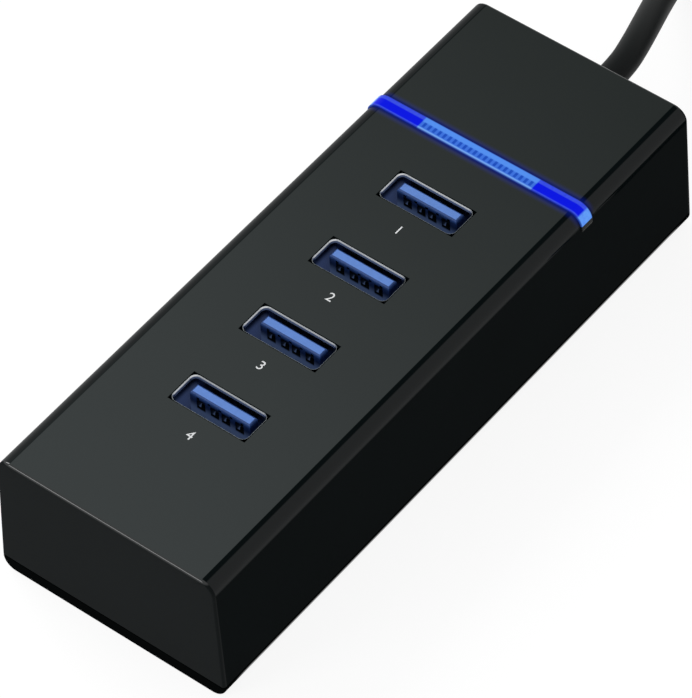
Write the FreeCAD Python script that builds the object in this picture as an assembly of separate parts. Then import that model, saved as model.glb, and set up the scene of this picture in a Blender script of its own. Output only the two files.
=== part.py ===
"""A four-port desktop USB 3.0 hub with a captive cord, built as separate pieces.

Millimetres. X runs across the hub, Y along it (the cord leaves the +Y end), Z is up.
The origin is in the middle of the hub's rest face.
"""

import FreeCAD, Part
import math
import os

Vec = FreeCAD.Vector

# Housing
LENGTH = 112.0  # along Y, at the base
WIDTH = 41.0  # across X, at the base
HEIGHT = 24.4
SIDE_DRAFT = 1.0  # each long side leans in by this much from base to top
END_DRAFT = 0.25  # each end leans in by this much from base to top
TOP_ROUND = 2.4  # radius of the two long upper edges
END_ROUND = 0.4  # radius round both ends
COVER_HEIGHT = 2.3  # height of the parting line, and radius of the long lower edges
WALL = 1.8
ROOF = 2.0
COVER_FLOOR = 1.8
SEAM = 0.25  # shadow groove along the parting line
FIT = 0.15  # gap between moulded parts that slide together
CAVITY_ROUND = 0.9
COLLAR = 1.0  # thickness of the wall round each port, under the roof
COLLAR_DEPTH = 3.0

# Circuit board
BOARD_LENGTH = 103.0
BOARD_WIDTH = 35.4
BOARD_BOTTOM = 4.4
BOARD_THICK = 1.6
BOARD_TOP = BOARD_BOTTOM + BOARD_THICK
NOTCH_DEPTH = 1.3  # where the snap tabs pass the board's edges
HOLE_FIT = 0.2  # gap all round a screw or peg in its hole
BOSS_X = 13.6
BOSS_YS = (-45.0, 43.5)
BOSS_RADIUS = 2.4
PILOT_RADIUS = 0.95
PILOT_DEPTH = 8.0
SCREW_HEAD = (1.9, 1.4)  # radius and height
SCREW_REACH = 6.0  # how far the screws go into the bosses
RECESS = (1.9, 0.45, 0.7)  # length, width and depth of the cross in each head

# Snap tabs between the cover and the upper shell
TAB_YS = (-36.0, 0.0, 36.0)
TAB_LENGTH = 8.0
TAB_THICK = 1.1
TAB_TOP = 8.4
TAB_INNER_X = 17.0  # where each tab's window in the wall begins
BARB_Z = 6.6
BARB_HEIGHT = 1.3
BARB_REACH = 0.55
RIM_THICK = 1.2

# Ports: USB standard-A receptacles standing on the board, mouths up
FIRST_PORT_Y = 18.2  # port 1, nearest the cord
PORT_PITCH = 16.0
PORT_COUNT = 4
PORT_X = -0.25  # the ports stand a little off the hub's middle
CUTOUT = (13.9, 6.0)
SHELL_SIZE = (13.66, 5.78)
SHELL_ROUND = 1.1
PORT_SHEET = 0.3
MOUTH_Z = HEIGHT - 0.05
FLARE = (0.27, 0.44)  # width and depth of the lead-in round each mouth
FINGER_SIZE = (1.6, 5.7)  # spring fingers pressed out of the long walls
FINGER_X = 3.2
FINGER_TOP_Z = 18.7
FINGER_SLIT = 0.3
PEG_WIDTH = 1.6
TONGUE_SIZE = (10.9, 1.84)
TONGUE_Y = 0.99  # the tongue stands off-centre, towards the cord end
TONGUE_TIP_Z = HEIGHT - 0.5
TONGUE_TIP_ROUND = 0.4
CAVITY_FLOOR_Z = 11.2
TAIL_BOTTOM = 3.3
SPRING_XS = (-3.5, -1.0, 1.0, 3.5)  # the four USB 2.0 contacts
SPRING_WIDTH = 0.8
SPRING_THICK = 0.2
SPRING_ZS = (TAIL_BOTTOM, 15.0, 19.0, 21.5)  # tail, bend, crest and tip
SPRING_DEPTHS = (0.60, 0.60, 0.05, 0.55)  # behind the tongue's face at those heights
SPRING_SLOT = (1.5, 0.95)  # width and depth of the groove that each spring moves in
SPRING_SLOT_TOP = TONGUE_TIP_Z - 1.1
BRIDGE_ZS = (20.3, 21.35)  # a bar of the tongue crosses each groove here
BRIDGE_THICK = 0.22
PAD_XS = (-4.0, -2.0, 0.0, 2.0, 4.0)  # the five SuperSpeed contacts
PAD_WIDTH = 0.5
PAD_DEPTH = (1.1, 1.3)  # where the strips run behind the tongue's face
PAD_TOP = TONGUE_TIP_Z - 0.45
PAD_HEIGHT = 0.4

# Parts on the board: (x, y, height)
CONTROLLER_SIZE = (7.0, 6.4, 1.0)
CRYSTAL_SIZE = (5.0, 3.2, 1.3)
CRYSTAL_X = -9.4
REGULATOR_SIZE = (6.5, 3.5, 1.7)
REGULATOR_AT = (7.4, 47.0)
FUSE_SIZE = (4.5, 3.2, 1.0)
FUSE_AT = (-8.6, 46.0)
CERAMIC_SIZE = (1.6, 0.8, 0.8)
CERAMIC_AT = (5.2, 3.4)  # either side of the middle, between two ports
RESISTOR_SIZE = (1.6, 0.8, 0.45)
RESISTOR_AT = (-11.0, 3.2)
CAN_X = 11.2
CAN_BASE = 4.3
CAN_RADIUS = 2.0
CAN_HEIGHT = 5.4
LEG_SIZE = (0.3, 1.2, 0.35)

# Light pipe
PIPE_Y = 30.5
PIPE_WIDTH = 2.6
PIPE_PROUD = 0.2
PIPE_END_Z = 21.5
PIPE_EASED = 0.18  # radius along the strip's two upper edges
PIPE_LAP = 1.6  # how far the strip reaches in from each long wall under the roof
PIPE_FOOT = (32.0, 5.0)
PIPE_FOOT_THICK = 1.1
PIPE_LEG = (3.0, 2.2)
LED_AIR = 0.2  # between each leg and the lamp under it
TICK_COUNT = 22
TICK_PITCH = 0.93
TICK = (0.5, 0.6)  # width and depth of each groove
LED_X = 13.5
LED_SIZE = (3.5, 2.8, 1.3)

# Cord
CORD = 4.6  # diameter
CORD_Z = 12.8  # height at which it leaves the back wall
RELIEF_END_Y = 61.0
JACKET_END_Y = 47.0
NECK_RADIUS = 3.3  # where the strain relief passes through the back wall
FLANGE_RADIUS = 4.1  # its collar outside the wall
FLANGE_THICK = 0.8
RETAINER_RADIUS = 4.6  # its collar inside the wall
RETAINER_THICK = 1.6
RELIEF_TIP_RADIUS = CORD / 2 + 0.45
CORD_FIT = 0.05  # gap between the cord's jacket and the strain relief
WIRE_RADIUS = 0.45
WIRE_SPREAD = 1.15
WIRE_NARROW = 0.87  # share of that spread inside the jacket's end
WIRE_FAN = 1.7  # share of that spread at the board
WIRE_BEND = 2.2
SOLDER = (0.95, 0.5, 0.6)  # foot radius, tip radius and height of each joint
WIRE_ROWS = ((CORD_Z + 0.65, 36.6), (CORD_Z - 0.65, 40.4))  # height and landing Y of each row
LEAD_ROUTE = (
    (0.0, RELIEF_END_Y, CORD_Z),
    (0.0, 66.2, CORD_Z),
    (-1.35, 71.6, 12.2),
    (-3.45, 77.4, 10.5),
    (-5.95, 83.6, 8.0),
    (-8.3, 89.9, 5.5),
    (-10.15, 96.0, 3.4),
    (-11.0, 102.0, CORD / 2),
    (-11.0, 108.0, CORD / 2),
)
TURN_GAP = 4.8  # between neighbouring turns of the coil
COIL_OUTER = 26.0  # radius of the outer turns, at the middle of the cord
COIL_CENTRE = (LEAD_ROUTE[-1][0] + COIL_OUTER, 123.7)
COIL_TOP = CORD + TURN_GAP
STUB = COIL_CENTRE[1] - LEAD_ROUTE[-1][1]
TIE_THICK = 0.9
TIE_WIDTH = 7.0
TAIL_X = COIL_CENTRE[0] + COIL_OUTER
UPPER_TURN_Z = CORD / 2 + TURN_GAP
PLUG_Z = 4.3
TAIL_ROUTE = (
    (TAIL_X, COIL_CENTRE[1] - STUB, UPPER_TURN_Z),
    (TAIL_X, 99.9, UPPER_TURN_Z),
    (TAIL_X, 91.2, PLUG_Z),
    (TAIL_X, 83.1, PLUG_Z),
)

# Plug: USB standard-A, lying flat beside the hub
PLUG_REAR_Y = TAIL_ROUTE[-1][1]
RELIEF_LENGTH = 7.0
GRIP_SIZE = (15.6, 8.6)
GRIP_LENGTH = 22.0
GRIP_ROUND = 2.6
GRIP_REAR_ROUND = 1.2
GRIP_TAIL_RADIUS = 3.9
PLUG_SHELL = (12.0, 4.5)
PLUG_SHELL_ROUND = 0.45
PLUG_REACH = 12.0
PLUG_BURIED = 6.0  # how far the metal mouth goes into the grip
PLUG_SHEET = 0.3
PLUG_WINDOW = (2.3, 2.2)
PLUG_WINDOW_X = 2.6
PLUG_WINDOW_Y = 6.2  # from the tip to the windows' middle
PLUG_TONGUE_THICK = 1.95
PLUG_PAD = 1.0  # width of the four long contacts
PLUG_PAD_YS = (1.3, 8.0)  # where they start and end, from the tip
PLUG_FAST_PAD = 0.6  # width of the five short contacts behind them
PLUG_FAST_PAD_YS = (8.8, 10.2)


def block(x_span, y_span, z_span):
    """A box from its spans along X, Y and Z."""
    size = [high - low for low, high in (x_span, y_span, z_span)]
    return Part.makeBox(*size, Vec(x_span[0], y_span[0], z_span[0]))


def centred(size, centre, z_span):
    """An upright box of size (x, y) about centre (x, y), over z_span."""
    (w, d), (x, y) = size, centre
    return block((x - w / 2, x + w / 2), (y - d / 2, y + d / 2), z_span)


def post(radius, x, y, z_span):
    """An upright round post."""
    return Part.makeCylinder(radius, z_span[1] - z_span[0], Vec(x, y, z_span[0]))


def joined(solids):
    """One solid from several that touch or overlap."""
    solids = list(solids)
    return solids[0].fuse(solids[1:]).removeSplitter()


def without(solid, tools):
    """A solid with all the tools cut from it."""
    return solid.cut(list(tools))


def drafted(inset, low, high):
    """The hub's drafted block, inset all round, from height low to height high."""
    def outline(z):
        lean = z / HEIGHT
        x = WIDTH / 2 - SIDE_DRAFT * lean - inset
        y = LENGTH / 2 - END_DRAFT * lean - inset
        return Part.makePolygon([Vec(sx * x, sy * y, z)
                                 for sx, sy in ((-1, -1), (1, -1), (1, 1), (-1, 1), (-1, -1))])
    return Part.makeLoft([outline(low), outline(high)], True, True)


def long_edges(solid, z):
    """The two edges along Y at height z."""
    return [e for e in solid.Edges
            if abs(e.CenterOfMass.z - z) < 1e-3 and e.BoundBox.YLength > LENGTH / 2]


def end_edges(solid):
    """Every edge round the two end faces."""
    return [e for e in solid.Edges
            if abs(e.CenterOfMass.y) > LENGTH / 2 - END_DRAFT - 1e-3]


def envelope(proud=0.0):
    """The outside of the whole housing: drafted, with round long edges and eased ends."""
    body = drafted(-proud, 0.0, HEIGHT + proud)
    body = body.makeFillet(TOP_ROUND, long_edges(body, HEIGHT + proud))
    body = body.makeFillet(COVER_HEIGHT - 0.01, long_edges(body, 0.0))
    return body.makeFillet(END_ROUND, end_edges(body)) if proud == 0.0 else body


def port_y(number):
    """Centre of a port, numbered from the cord end."""
    return FIRST_PORT_Y - PORT_PITCH * (number - 1)


def port_ys():
    """Every port's centre, from the cord end."""
    return [port_y(n) for n in range(1, PORT_COUNT + 1)]


def boss_places():
    """(x, y) of the four screw bosses."""
    return [(sx * BOSS_X, y) for sx in (-1, 1) for y in BOSS_YS]


def wall_x(z):
    """Half the hub's width at height z."""
    return WIDTH / 2 - SIDE_DRAFT * z / HEIGHT


def upper_shell(outside):
    """Five-sided glossy cover: roof, four walls, screw bosses and port collars."""
    everything = 2 * LENGTH
    shell = outside.common(block((-WIDTH, WIDTH), (-LENGTH, LENGTH), (COVER_HEIGHT, HEIGHT)))
    groove_z = (COVER_HEIGHT, COVER_HEIGHT + SEAM)
    groove = without(centred((everything, everything), (0, 0), groove_z),
                     [drafted(SEAM, 0.0, HEIGHT)])
    cavity = drafted(WALL, 0.0, HEIGHT - ROOF)
    cavity = cavity.makeFillet(CAVITY_ROUND, long_edges(cavity, HEIGHT - ROOF))
    shell = without(shell, [groove, cavity])
    roof_z = HEIGHT - ROOF
    collar_z = (roof_z - COLLAR_DEPTH, roof_z + 0.5)
    collar = (CUTOUT[0] + 2 * COLLAR, CUTOUT[1] + 2 * COLLAR)
    collars = [centred(collar, (PORT_X, y), collar_z) for y in port_ys()]
    bosses = [post(BOSS_RADIUS, x, y, (BOARD_TOP, roof_z + 0.5)) for x, y in boss_places()]
    shell = joined([shell] + collars + bosses)
    cuts = [centred(CUTOUT, (PORT_X, y), (roof_z - COLLAR_DEPTH - 1, HEIGHT + 1))
            for y in port_ys()]
    cuts += [post(PILOT_RADIUS, x, y, (BOARD_TOP - 1, BOARD_TOP + PILOT_DEPTH))
             for x, y in boss_places()]
    cuts.append(centred((everything, PIPE_WIDTH + 0.1), (0, PIPE_Y), (PIPE_END_Z, HEIGHT + 1)))
    cuts.append(Part.makeCylinder(NECK_RADIUS + 0.05, 3 * WALL,
                                  Vec(0, LENGTH / 2 - 2 * WALL, CORD_Z), Vec(0, 1, 0)))
    window_x = wall_x(BARB_Z) - WALL + BARB_REACH + FIT
    cuts += [block(sorted((side * TAB_INNER_X, side * window_x)),
                   (y - TAB_LENGTH / 2 - 2 * FIT, y + TAB_LENGTH / 2 + 2 * FIT),
                   (BARB_Z - FIT, BARB_Z + BARB_HEIGHT + 2 * FIT))
             for side in (-1, 1) for y in TAB_YS]
    return without(shell, cuts)


def bottom_cover(outside):
    """Flat base with a locating rim and six snap tabs."""
    cover = outside.common(block((-WIDTH, WIDTH), (-LENGTH, LENGTH), (0.0, COVER_HEIGHT)))
    rim_inset = WALL + FIT
    rim = drafted(rim_inset, COVER_FLOOR, BOARD_BOTTOM)
    cover = joined([cover, rim])
    cover = cover.cut(drafted(rim_inset + RIM_THICK, COVER_FLOOR, HEIGHT))
    tabs = []
    for side in (-1, 1):
        outer = wall_x(TAB_TOP) - WALL - 0.08
        for y in TAB_YS:
            span = (y - TAB_LENGTH / 2, y + TAB_LENGTH / 2)
            stem = block(sorted((side * (outer - TAB_THICK), side * outer)), span, (1.0, TAB_TOP))
            tip = outer + BARB_REACH
            root = outer - 0.2
            outline = [(root, 0), (tip, 0), (tip, 0.3), (root, BARB_HEIGHT), (root, 0)]
            barb = Part.makePolygon([Vec(side * x, span[0], BARB_Z + z) for x, z in outline])
            tabs += [stem, Part.Face(barb).extrude(Vec(0, TAB_LENGTH, 0))]
    return joined([cover] + tabs)


def light_pipe():
    """Clear strip over the roof and both round edges, with a foot inside and two legs."""
    strip = envelope(PIPE_PROUD).common(
        centred((2 * WIDTH, PIPE_WIDTH), (0, PIPE_Y), (PIPE_END_Z, HEIGHT + 1)))
    roof_z = HEIGHT - ROOF
    strip = strip.cut(centred((2 * (wall_x(HEIGHT) - PIPE_LAP), 2 * PIPE_WIDTH), (0, PIPE_Y),
                              (0, roof_z)))
    rim = [e for e in strip.Edges if abs(e.CenterOfMass.z - HEIGHT - PIPE_PROUD) < 1e-3
           and e.BoundBox.XLength > WIDTH / 2]
    strip = strip.makeFillet(PIPE_EASED, rim)
    foot = centred(PIPE_FOOT, (0, PIPE_Y), (roof_z - PIPE_FOOT_THICK, roof_z))
    led_top = BOARD_TOP + LED_SIZE[2]
    legs = [centred(PIPE_LEG, (side * LED_X, PIPE_Y), (led_top + LED_AIR, roof_z))
            for side in (-1, 1)]
    pipe = joined([strip, foot] + legs)
    first = -TICK_PITCH * (TICK_COUNT - 1) / 2
    foot_z = roof_z - PIPE_FOOT_THICK
    half, depth = TICK[0] / 2, TICK[1]
    grooves = []
    for i in range(TICK_COUNT):
        x = first + i * TICK_PITCH
        outline = [(x - half, foot_z - 0.01), (x + half, foot_z - 0.01), (x, foot_z + depth),
                   (x - half, foot_z - 0.01)]
        wedge = Part.makePolygon([Vec(px, PIPE_Y - PIPE_FOOT[1], pz) for px, pz in outline])
        grooves.append(Part.Face(wedge).extrude(Vec(0, 2 * PIPE_FOOT[1], 0)))
    return without(pipe, grooves)


def rounded_bar(size, radius, centre, z_span):
    """An upright bar with a rounded-rectangle section."""
    bar = centred(size, centre, z_span)
    height = z_span[1] - z_span[0]
    upright = [e for e in bar.Edges if abs(e.BoundBox.ZLength - height) < 1e-6]
    return bar.makeFillet(radius, upright)


def mouth_flare(y):
    """The funnel that widens the inside of a port's shell towards its mouth."""
    def ring(grow, z):
        size = [s - 2 * PORT_SHEET + 2 * grow for s in SHELL_SIZE]
        radius = SHELL_ROUND - PORT_SHEET + grow
        slab = rounded_bar(size, radius, (PORT_X, y), (z, z + 1))
        return min(slab.Faces, key=lambda face: face.CenterOfMass.z).OuterWire
    width, depth = FLARE
    return Part.makeLoft([ring(0.0, MOUTH_Z - depth), ring(width, MOUTH_Z)], True, True)


def port_shell(y):
    """Sheet-metal tube with a flared mouth, four spring fingers and two board pegs."""
    z_span = (BOARD_TOP, MOUTH_Z)
    outer = rounded_bar(SHELL_SIZE, SHELL_ROUND, (PORT_X, y), z_span)
    inner_size = [s - 2 * PORT_SHEET for s in SHELL_SIZE]
    inner = rounded_bar(inner_size, SHELL_ROUND - PORT_SHEET, (PORT_X, y),
                        (z_span[0] - 1, z_span[1] + 1))
    tube = outer.cut(inner).cut(mouth_flare(y))
    pegs = [centred((PORT_SHEET, PEG_WIDTH), (PORT_X + side * (SHELL_SIZE[0] - PORT_SHEET) / 2, y),
                    (TAIL_BOTTOM, BOARD_TOP + 1)) for side in (-1, 1)]
    width, height = FINGER_SIZE
    bottom = FINGER_TOP_Z - height
    slits = []
    for x in (PORT_X - FINGER_X, PORT_X + FINGER_X):
        window = centred((width + 2 * FINGER_SLIT, 2 * SHELL_SIZE[1]), (x, y),
                         (bottom, FINGER_TOP_Z + FINGER_SLIT))
        slits.append(window.cut(centred((width, 3 * SHELL_SIZE[1]), (x, y),
                                        (bottom - 1, FINGER_TOP_Z))))
    return without(joined([tube] + pegs), slits)


def tongue_face(y):
    """Y of the contact side of a port's tongue."""
    return y + TONGUE_Y - TONGUE_SIZE[1] / 2


def spring_slots(y, bottom):
    """Grooves down the tongue's near face, one for each USB 2.0 contact, with a bar across each."""
    face = tongue_face(y)
    width, depth = SPRING_SLOT
    slots = []
    for x in SPRING_XS:
        across = (PORT_X + x - width / 2, PORT_X + x + width / 2)
        slot = block(across, (face - 0.1, face + depth), (bottom, SPRING_SLOT_TOP))
        slots.append(slot.cut(block(across, (face - 0.2, face + BRIDGE_THICK), BRIDGE_ZS)))
    return slots


def pad_contacts(y):
    """Five insert-moulded strips that surface near the tongue's tip."""
    face = tongue_face(y)
    core = (face + PAD_DEPTH[0], face + PAD_DEPTH[1])
    strips = []
    for x in PAD_XS:
        across = (PORT_X + x - PAD_WIDTH / 2, PORT_X + x + PAD_WIDTH / 2)
        stem = block(across, core, (TAIL_BOTTOM, PAD_TOP))
        pad = block(across, (face, core[1]), (PAD_TOP - PAD_HEIGHT, PAD_TOP))
        strips.append(stem.fuse(pad).removeSplitter())
    return strips


def port_insulator(y):
    """Blue moulding: a block in the foot of the shell, and the contact tongue."""
    inner = [s - 2 * PORT_SHEET - 0.1 for s in SHELL_SIZE]
    base = rounded_bar(inner, SHELL_ROUND - PORT_SHEET, (PORT_X, y), (BOARD_TOP, CAVITY_FLOOR_Z))
    tongue = centred(TONGUE_SIZE, (PORT_X, y + TONGUE_Y), (BOARD_TOP + 1, TONGUE_TIP_Z))
    rim = [e for e in tongue.Edges if abs(e.CenterOfMass.z - TONGUE_TIP_Z) < 1e-6]
    tongue = tongue.makeFillet(TONGUE_TIP_ROUND, rim)
    return without(joined([base, tongue]), spring_slots(y, BOARD_TOP - 1) + pad_contacts(y))


def port_contacts(y):
    """Four bent springs and five flat strips, each with a tail through the board."""
    face = tongue_face(y)
    outline = [(face + depth, z) for depth, z in zip(SPRING_DEPTHS, SPRING_ZS)]
    outline += [(py + SPRING_THICK, pz) for py, pz in outline[::-1]]
    springs = []
    for x in SPRING_XS:
        ring = [Vec(PORT_X + x - SPRING_WIDTH / 2, py, pz) for py, pz in outline]
        springs.append(Part.Face(Part.makePolygon(ring + ring[:1])).extrude(Vec(SPRING_WIDTH, 0, 0)))
    return Part.makeCompound(springs + pad_contacts(y))


def circuit_board():
    """Board with notches for the tabs and holes for every pin, peg and screw."""
    board = centred((BOARD_WIDTH, BOARD_LENGTH), (0, 0), (BOARD_BOTTOM, BOARD_TOP))
    through = (BOARD_BOTTOM - 1, BOARD_TOP + 1)
    notch = (NOTCH_DEPTH * 2, TAB_LENGTH + 1.0)
    cuts = [centred(notch, (side * BOARD_WIDTH / 2, y), through)
            for side in (-1, 1) for y in TAB_YS]
    cuts += [post(PILOT_RADIUS + HOLE_FIT, x, y, through) for x, y in boss_places()]
    for y in port_ys():
        peg_x = (SHELL_SIZE[0] - PORT_SHEET) / 2
        peg_hole = (PORT_SHEET + 2 * HOLE_FIT, PEG_WIDTH + 2 * HOLE_FIT)
        cuts += [centred(peg_hole, (PORT_X + side * peg_x, y), through) for side in (-1, 1)]
        tails = [(x, SPRING_WIDTH, SPRING_DEPTHS[0] + SPRING_THICK / 2) for x in SPRING_XS]
        tails += [(x, PAD_WIDTH, sum(PAD_DEPTH) / 2) for x in PAD_XS]
        cuts += [centred((width + 0.2, 0.4), (PORT_X + x, tongue_face(y) + depth), through)
                 for x, width, depth in tails]
    return without(board, cuts)


def chip(size, x, y, legs=0):
    """A flat package on the board, with a row of legs along two sides if it has any."""
    w, d, h = size
    body = centred((w, d), (x, y), (BOARD_TOP + 0.1, BOARD_TOP + h))
    parts = [body]
    for i in range(legs):
        at = x - w / 2 + (i + 0.5) * w / legs
        for side in (-1, 1):
            parts.append(centred(LEG_SIZE[:2], (at, y + side * (d + LEG_SIZE[1] / 2) / 2),
                                 (BOARD_TOP, BOARD_TOP + LEG_SIZE[2])))
    return joined(parts) if legs else centred((w, d), (x, y), (BOARD_TOP, BOARD_TOP + h))


def screws():
    """Four identical cross-head screws, driven from below into the shell's bosses."""
    radius, height = SCREW_HEAD
    long, wide, deep = RECESS
    made = []
    for x, y in boss_places():
        head = post(radius, x, y, (BOARD_BOTTOM - height, BOARD_BOTTOM))
        shank = post(PILOT_RADIUS - 0.03, x, y, (BOARD_BOTTOM - 0.5, BOARD_TOP + SCREW_REACH))
        recess = [centred(size, (x, y), (BOARD_BOTTOM - height - 0.1, BOARD_BOTTOM - height + deep))
                  for size in ((long, wide), (wide, long))]
        made.append(without(joined([head, shank]), recess))
    return Part.makeCompound(made)


def small_parts(size, places):
    """Identical chip parts on the board."""
    return Part.makeCompound([chip(size, x, y) for x, y in places])


def can_capacitors():
    """Aluminium can capacitors on square bases, one for each port's supply."""
    made = []
    for y in port_ys():
        base = centred((CAN_BASE, CAN_BASE), (CAN_X, y), (BOARD_TOP, BOARD_TOP + 0.8))
        can = post(CAN_RADIUS, CAN_X, y, (BOARD_TOP + 0.5, BOARD_TOP + CAN_HEIGHT))
        made.append(joined([base, can]))
    return Part.makeCompound(made)


def wire_places():
    """(start x, start z, pad x, pad y) of each of the cord's eight wires."""
    places = []
    for z, y in WIRE_ROWS:
        for i in range(4):
            x = (i - 1.5) * WIRE_SPREAD
            places.append((x * WIRE_NARROW, z, x * WIRE_FAN, y))
    return places


def strain_relief():
    """Grommet with a groove round the back wall and a short taper outside it."""
    outside_y = LENGTH / 2 - END_DRAFT * CORD_Z / HEIGHT
    inside_y = outside_y - WALL - 0.08
    bore = CORD / 2 + CORD_FIT
    collar_y, flange_y = inside_y - RETAINER_THICK, outside_y + 0.08
    profile = [(bore, collar_y), (RETAINER_RADIUS, collar_y), (RETAINER_RADIUS, inside_y),
               (NECK_RADIUS, inside_y), (NECK_RADIUS, flange_y), (FLANGE_RADIUS, flange_y),
               (FLANGE_RADIUS, flange_y + FLANGE_THICK),
               (FLANGE_RADIUS - 0.6, flange_y + FLANGE_THICK + 0.3),
               (RELIEF_TIP_RADIUS, RELIEF_END_Y), (bore, RELIEF_END_Y)]
    ring = [Vec(r, y, CORD_Z) for r, y in profile]
    return Part.Face(Part.makePolygon(ring + ring[:1])).revolve(
        Vec(0, 0, CORD_Z), Vec(0, 1, 0), 360)


def cord_wires():
    """Eight insulated wires that turn down from the jacket's end to the board."""
    made = []
    eighth = math.sin(math.pi / 4)
    for x0, z0, x1, y1 in wire_places():
        start, over = Vec(x0, JACKET_END_Y - 0.1, z0), Vec(x1, y1, z0)
        ahead = (over - start).normalize()
        turn_in = over - ahead * WIRE_BEND
        turn_out = over - Vec(0, 0, WIRE_BEND)
        middle = over - (ahead + Vec(0, 0, 1)) * WIRE_BEND * (1 - eighth)
        foot = Vec(x1, y1, BOARD_TOP + SOLDER[2])
        path = Part.Wire([Part.LineSegment(start, turn_in).toShape(),
                          Part.Arc(turn_in, middle, turn_out).toShape(),
                          Part.LineSegment(turn_out, foot).toShape()])
        ring = Part.Wire(Part.makeCircle(WIRE_RADIUS, start, ahead))
        made.append(path.makePipeShell([ring], True, True))
    return Part.makeCompound(made)


def solder_joints():
    """One solder cone under each wire."""
    return Part.makeCompound([Part.makeCone(*SOLDER, Vec(x, y, BOARD_TOP))
                              for _, _, x, y in wire_places()])


def corner_arc(before, corner, after):
    """The largest arc allowed at a corner of a route: (arc, start, end, radius)."""
    a, b = before - corner, after - corner
    reach = 0.45 * min(a.Length, b.Length)
    half = (math.pi - a.getAngle(b)) / 2
    radius = reach / math.tan(half)
    start = corner + a.normalize() * reach
    end = corner + b.normalize() * reach
    inward = (a + b).normalize()
    centre = corner + inward * math.hypot(radius, reach)
    middle = centre - inward * radius
    return Part.Arc(start, middle, end).toShape(), start, end, radius


def cord_tube(name, route):
    """A round cord along straight runs joined by tangent arcs."""
    points = [Vec(*p) for p in route]
    edges, at, radii = [], points[0], []
    for before, corner, after in zip(points, points[1:], points[2:]):
        arc, start, end, radius = corner_arc(before, corner, after)
        edges += [Part.LineSegment(at, start).toShape(), arc]
        at = end
        radii.append(round(radius / CORD, 1))
    edges.append(Part.LineSegment(at, points[-1]).toShape())
    path = Part.Wire(edges)
    ring = Part.Wire(Part.makeCircle(CORD / 2, points[0], points[1] - points[0]))
    tube = path.makePipeShell([ring], True, True)
    expected = math.pi * CORD ** 2 / 4 * path.Length
    print(name, "length", round(path.Length, 1), "radii in diameters", radii,
          "volume ratio", round(tube.Volume / expected, 4))
    return tube


def coil_ring(inner, outer, z_span):
    """A flat-topped ring about the coil's centre."""
    x, y = COIL_CENTRE
    return post(outer, x, y, z_span).cut(post(inner, x, y, (z_span[0] - 1, z_span[1] + 1)))


def tie_zone(grow):
    """The space that the tie takes up, grown by its thickness or not."""
    x, y = COIL_CENTRE
    inner = math.sqrt((COIL_OUTER - TURN_GAP - CORD / 2) ** 2 - (TIE_WIDTH / 2) ** 2)
    return block((x - TIE_WIDTH / 2, x + TIE_WIDTH / 2),
                 (y + inner - grow, y + COIL_OUTER + CORD / 2 + grow),
                 (TIE_THICK - grow, TIE_THICK + COIL_TOP + grow))


def cord_coil():
    """The outer shape of the wound cord, with a straight stub at each end."""
    x, y = COIL_CENTRE
    inner, outer = COIL_OUTER - TURN_GAP - CORD / 2, COIL_OUTER + CORD / 2
    ring = coil_ring(inner, outer, (0.0, COIL_TOP))
    lifted = coil_ring(inner, outer, (TIE_THICK, TIE_THICK + COIL_TOP))
    under_tie = centred((TIE_WIDTH, 2 * outer), (x, y + outer), (-1, 2 * COIL_TOP))
    ring = joined([ring.cut(under_tie), lifted.common(under_tie)])
    buried = 3.0  # the stubs stop short of touching the ring's outside all along
    stubs = [Part.makeCylinder(CORD / 2 - 0.02, STUB - buried, Vec(sx, y - STUB, z), Vec(0, 1, 0))
             for sx, z in ((x - COIL_OUTER, CORD / 2), (x + COIL_OUTER, UPPER_TURN_Z))]
    return joined([ring] + stubs)


def cord_tie():
    """Strap round the whole bundle of turns on the far side of the coil."""
    return tie_zone(TIE_THICK).cut(tie_zone(0.02))


def plug_grip():
    """Overmoulded grip with a tapered tail."""
    front, rear = PLUG_REAR_Y - RELIEF_LENGTH - GRIP_LENGTH, PLUG_REAR_Y - RELIEF_LENGTH
    half_w, half_h = GRIP_SIZE[0] / 2, GRIP_SIZE[1] / 2
    grip = block((TAIL_X - half_w, TAIL_X + half_w), (front, rear),
                 (PLUG_Z - half_h, PLUG_Z + half_h))
    grip = grip.makeFillet(GRIP_ROUND, [e for e in grip.Edges
                                        if abs(e.BoundBox.YLength - GRIP_LENGTH) < 1e-6])
    rear_edges = [e for e in grip.Edges if abs(e.CenterOfMass.y - rear) < 1e-6]
    grip = grip.makeFillet(GRIP_REAR_ROUND, rear_edges)
    rooted = 0.5  # the tail starts this far inside the grip
    taper = Part.makeCone(GRIP_TAIL_RADIUS, CORD / 2 + 0.5, RELIEF_LENGTH + rooted,
                          Vec(TAIL_X, rear - rooted, PLUG_Z), Vec(0, 1, 0))
    pocket = plug_bar(PLUG_SHELL, (front - 1, front + PLUG_BURIED))
    return without(joined([grip, taper]), [pocket])


def plug_bar(size, y_span):
    """A rectangular bar along the plug's axis, with eased long edges."""
    w, h = size
    bar = block((TAIL_X - w / 2, TAIL_X + w / 2), y_span, (PLUG_Z - h / 2, PLUG_Z + h / 2))
    along = [e for e in bar.Edges if abs(e.BoundBox.YLength - (y_span[1] - y_span[0])) < 1e-6]
    return bar.makeFillet(PLUG_SHELL_ROUND, along)


def plug_span():
    """(tip, rear) of the plug's metal shell."""
    front = PLUG_REAR_Y - RELIEF_LENGTH - GRIP_LENGTH
    return front - PLUG_REACH, front + PLUG_BURIED


def plug_shell():
    """Folded sheet-metal mouth with its two pairs of windows."""
    tip, rear = plug_span()
    tube = plug_bar(PLUG_SHELL, (tip, rear))
    tube = tube.cut(plug_bar([s - 2 * PLUG_SHEET for s in PLUG_SHELL], (tip - 1, rear + 1)))
    windows = [centred(PLUG_WINDOW, (TAIL_X + side * PLUG_WINDOW_X, tip + PLUG_WINDOW_Y), (-5, 15))
               for side in (-1, 1)]
    return without(tube, windows)


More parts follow.
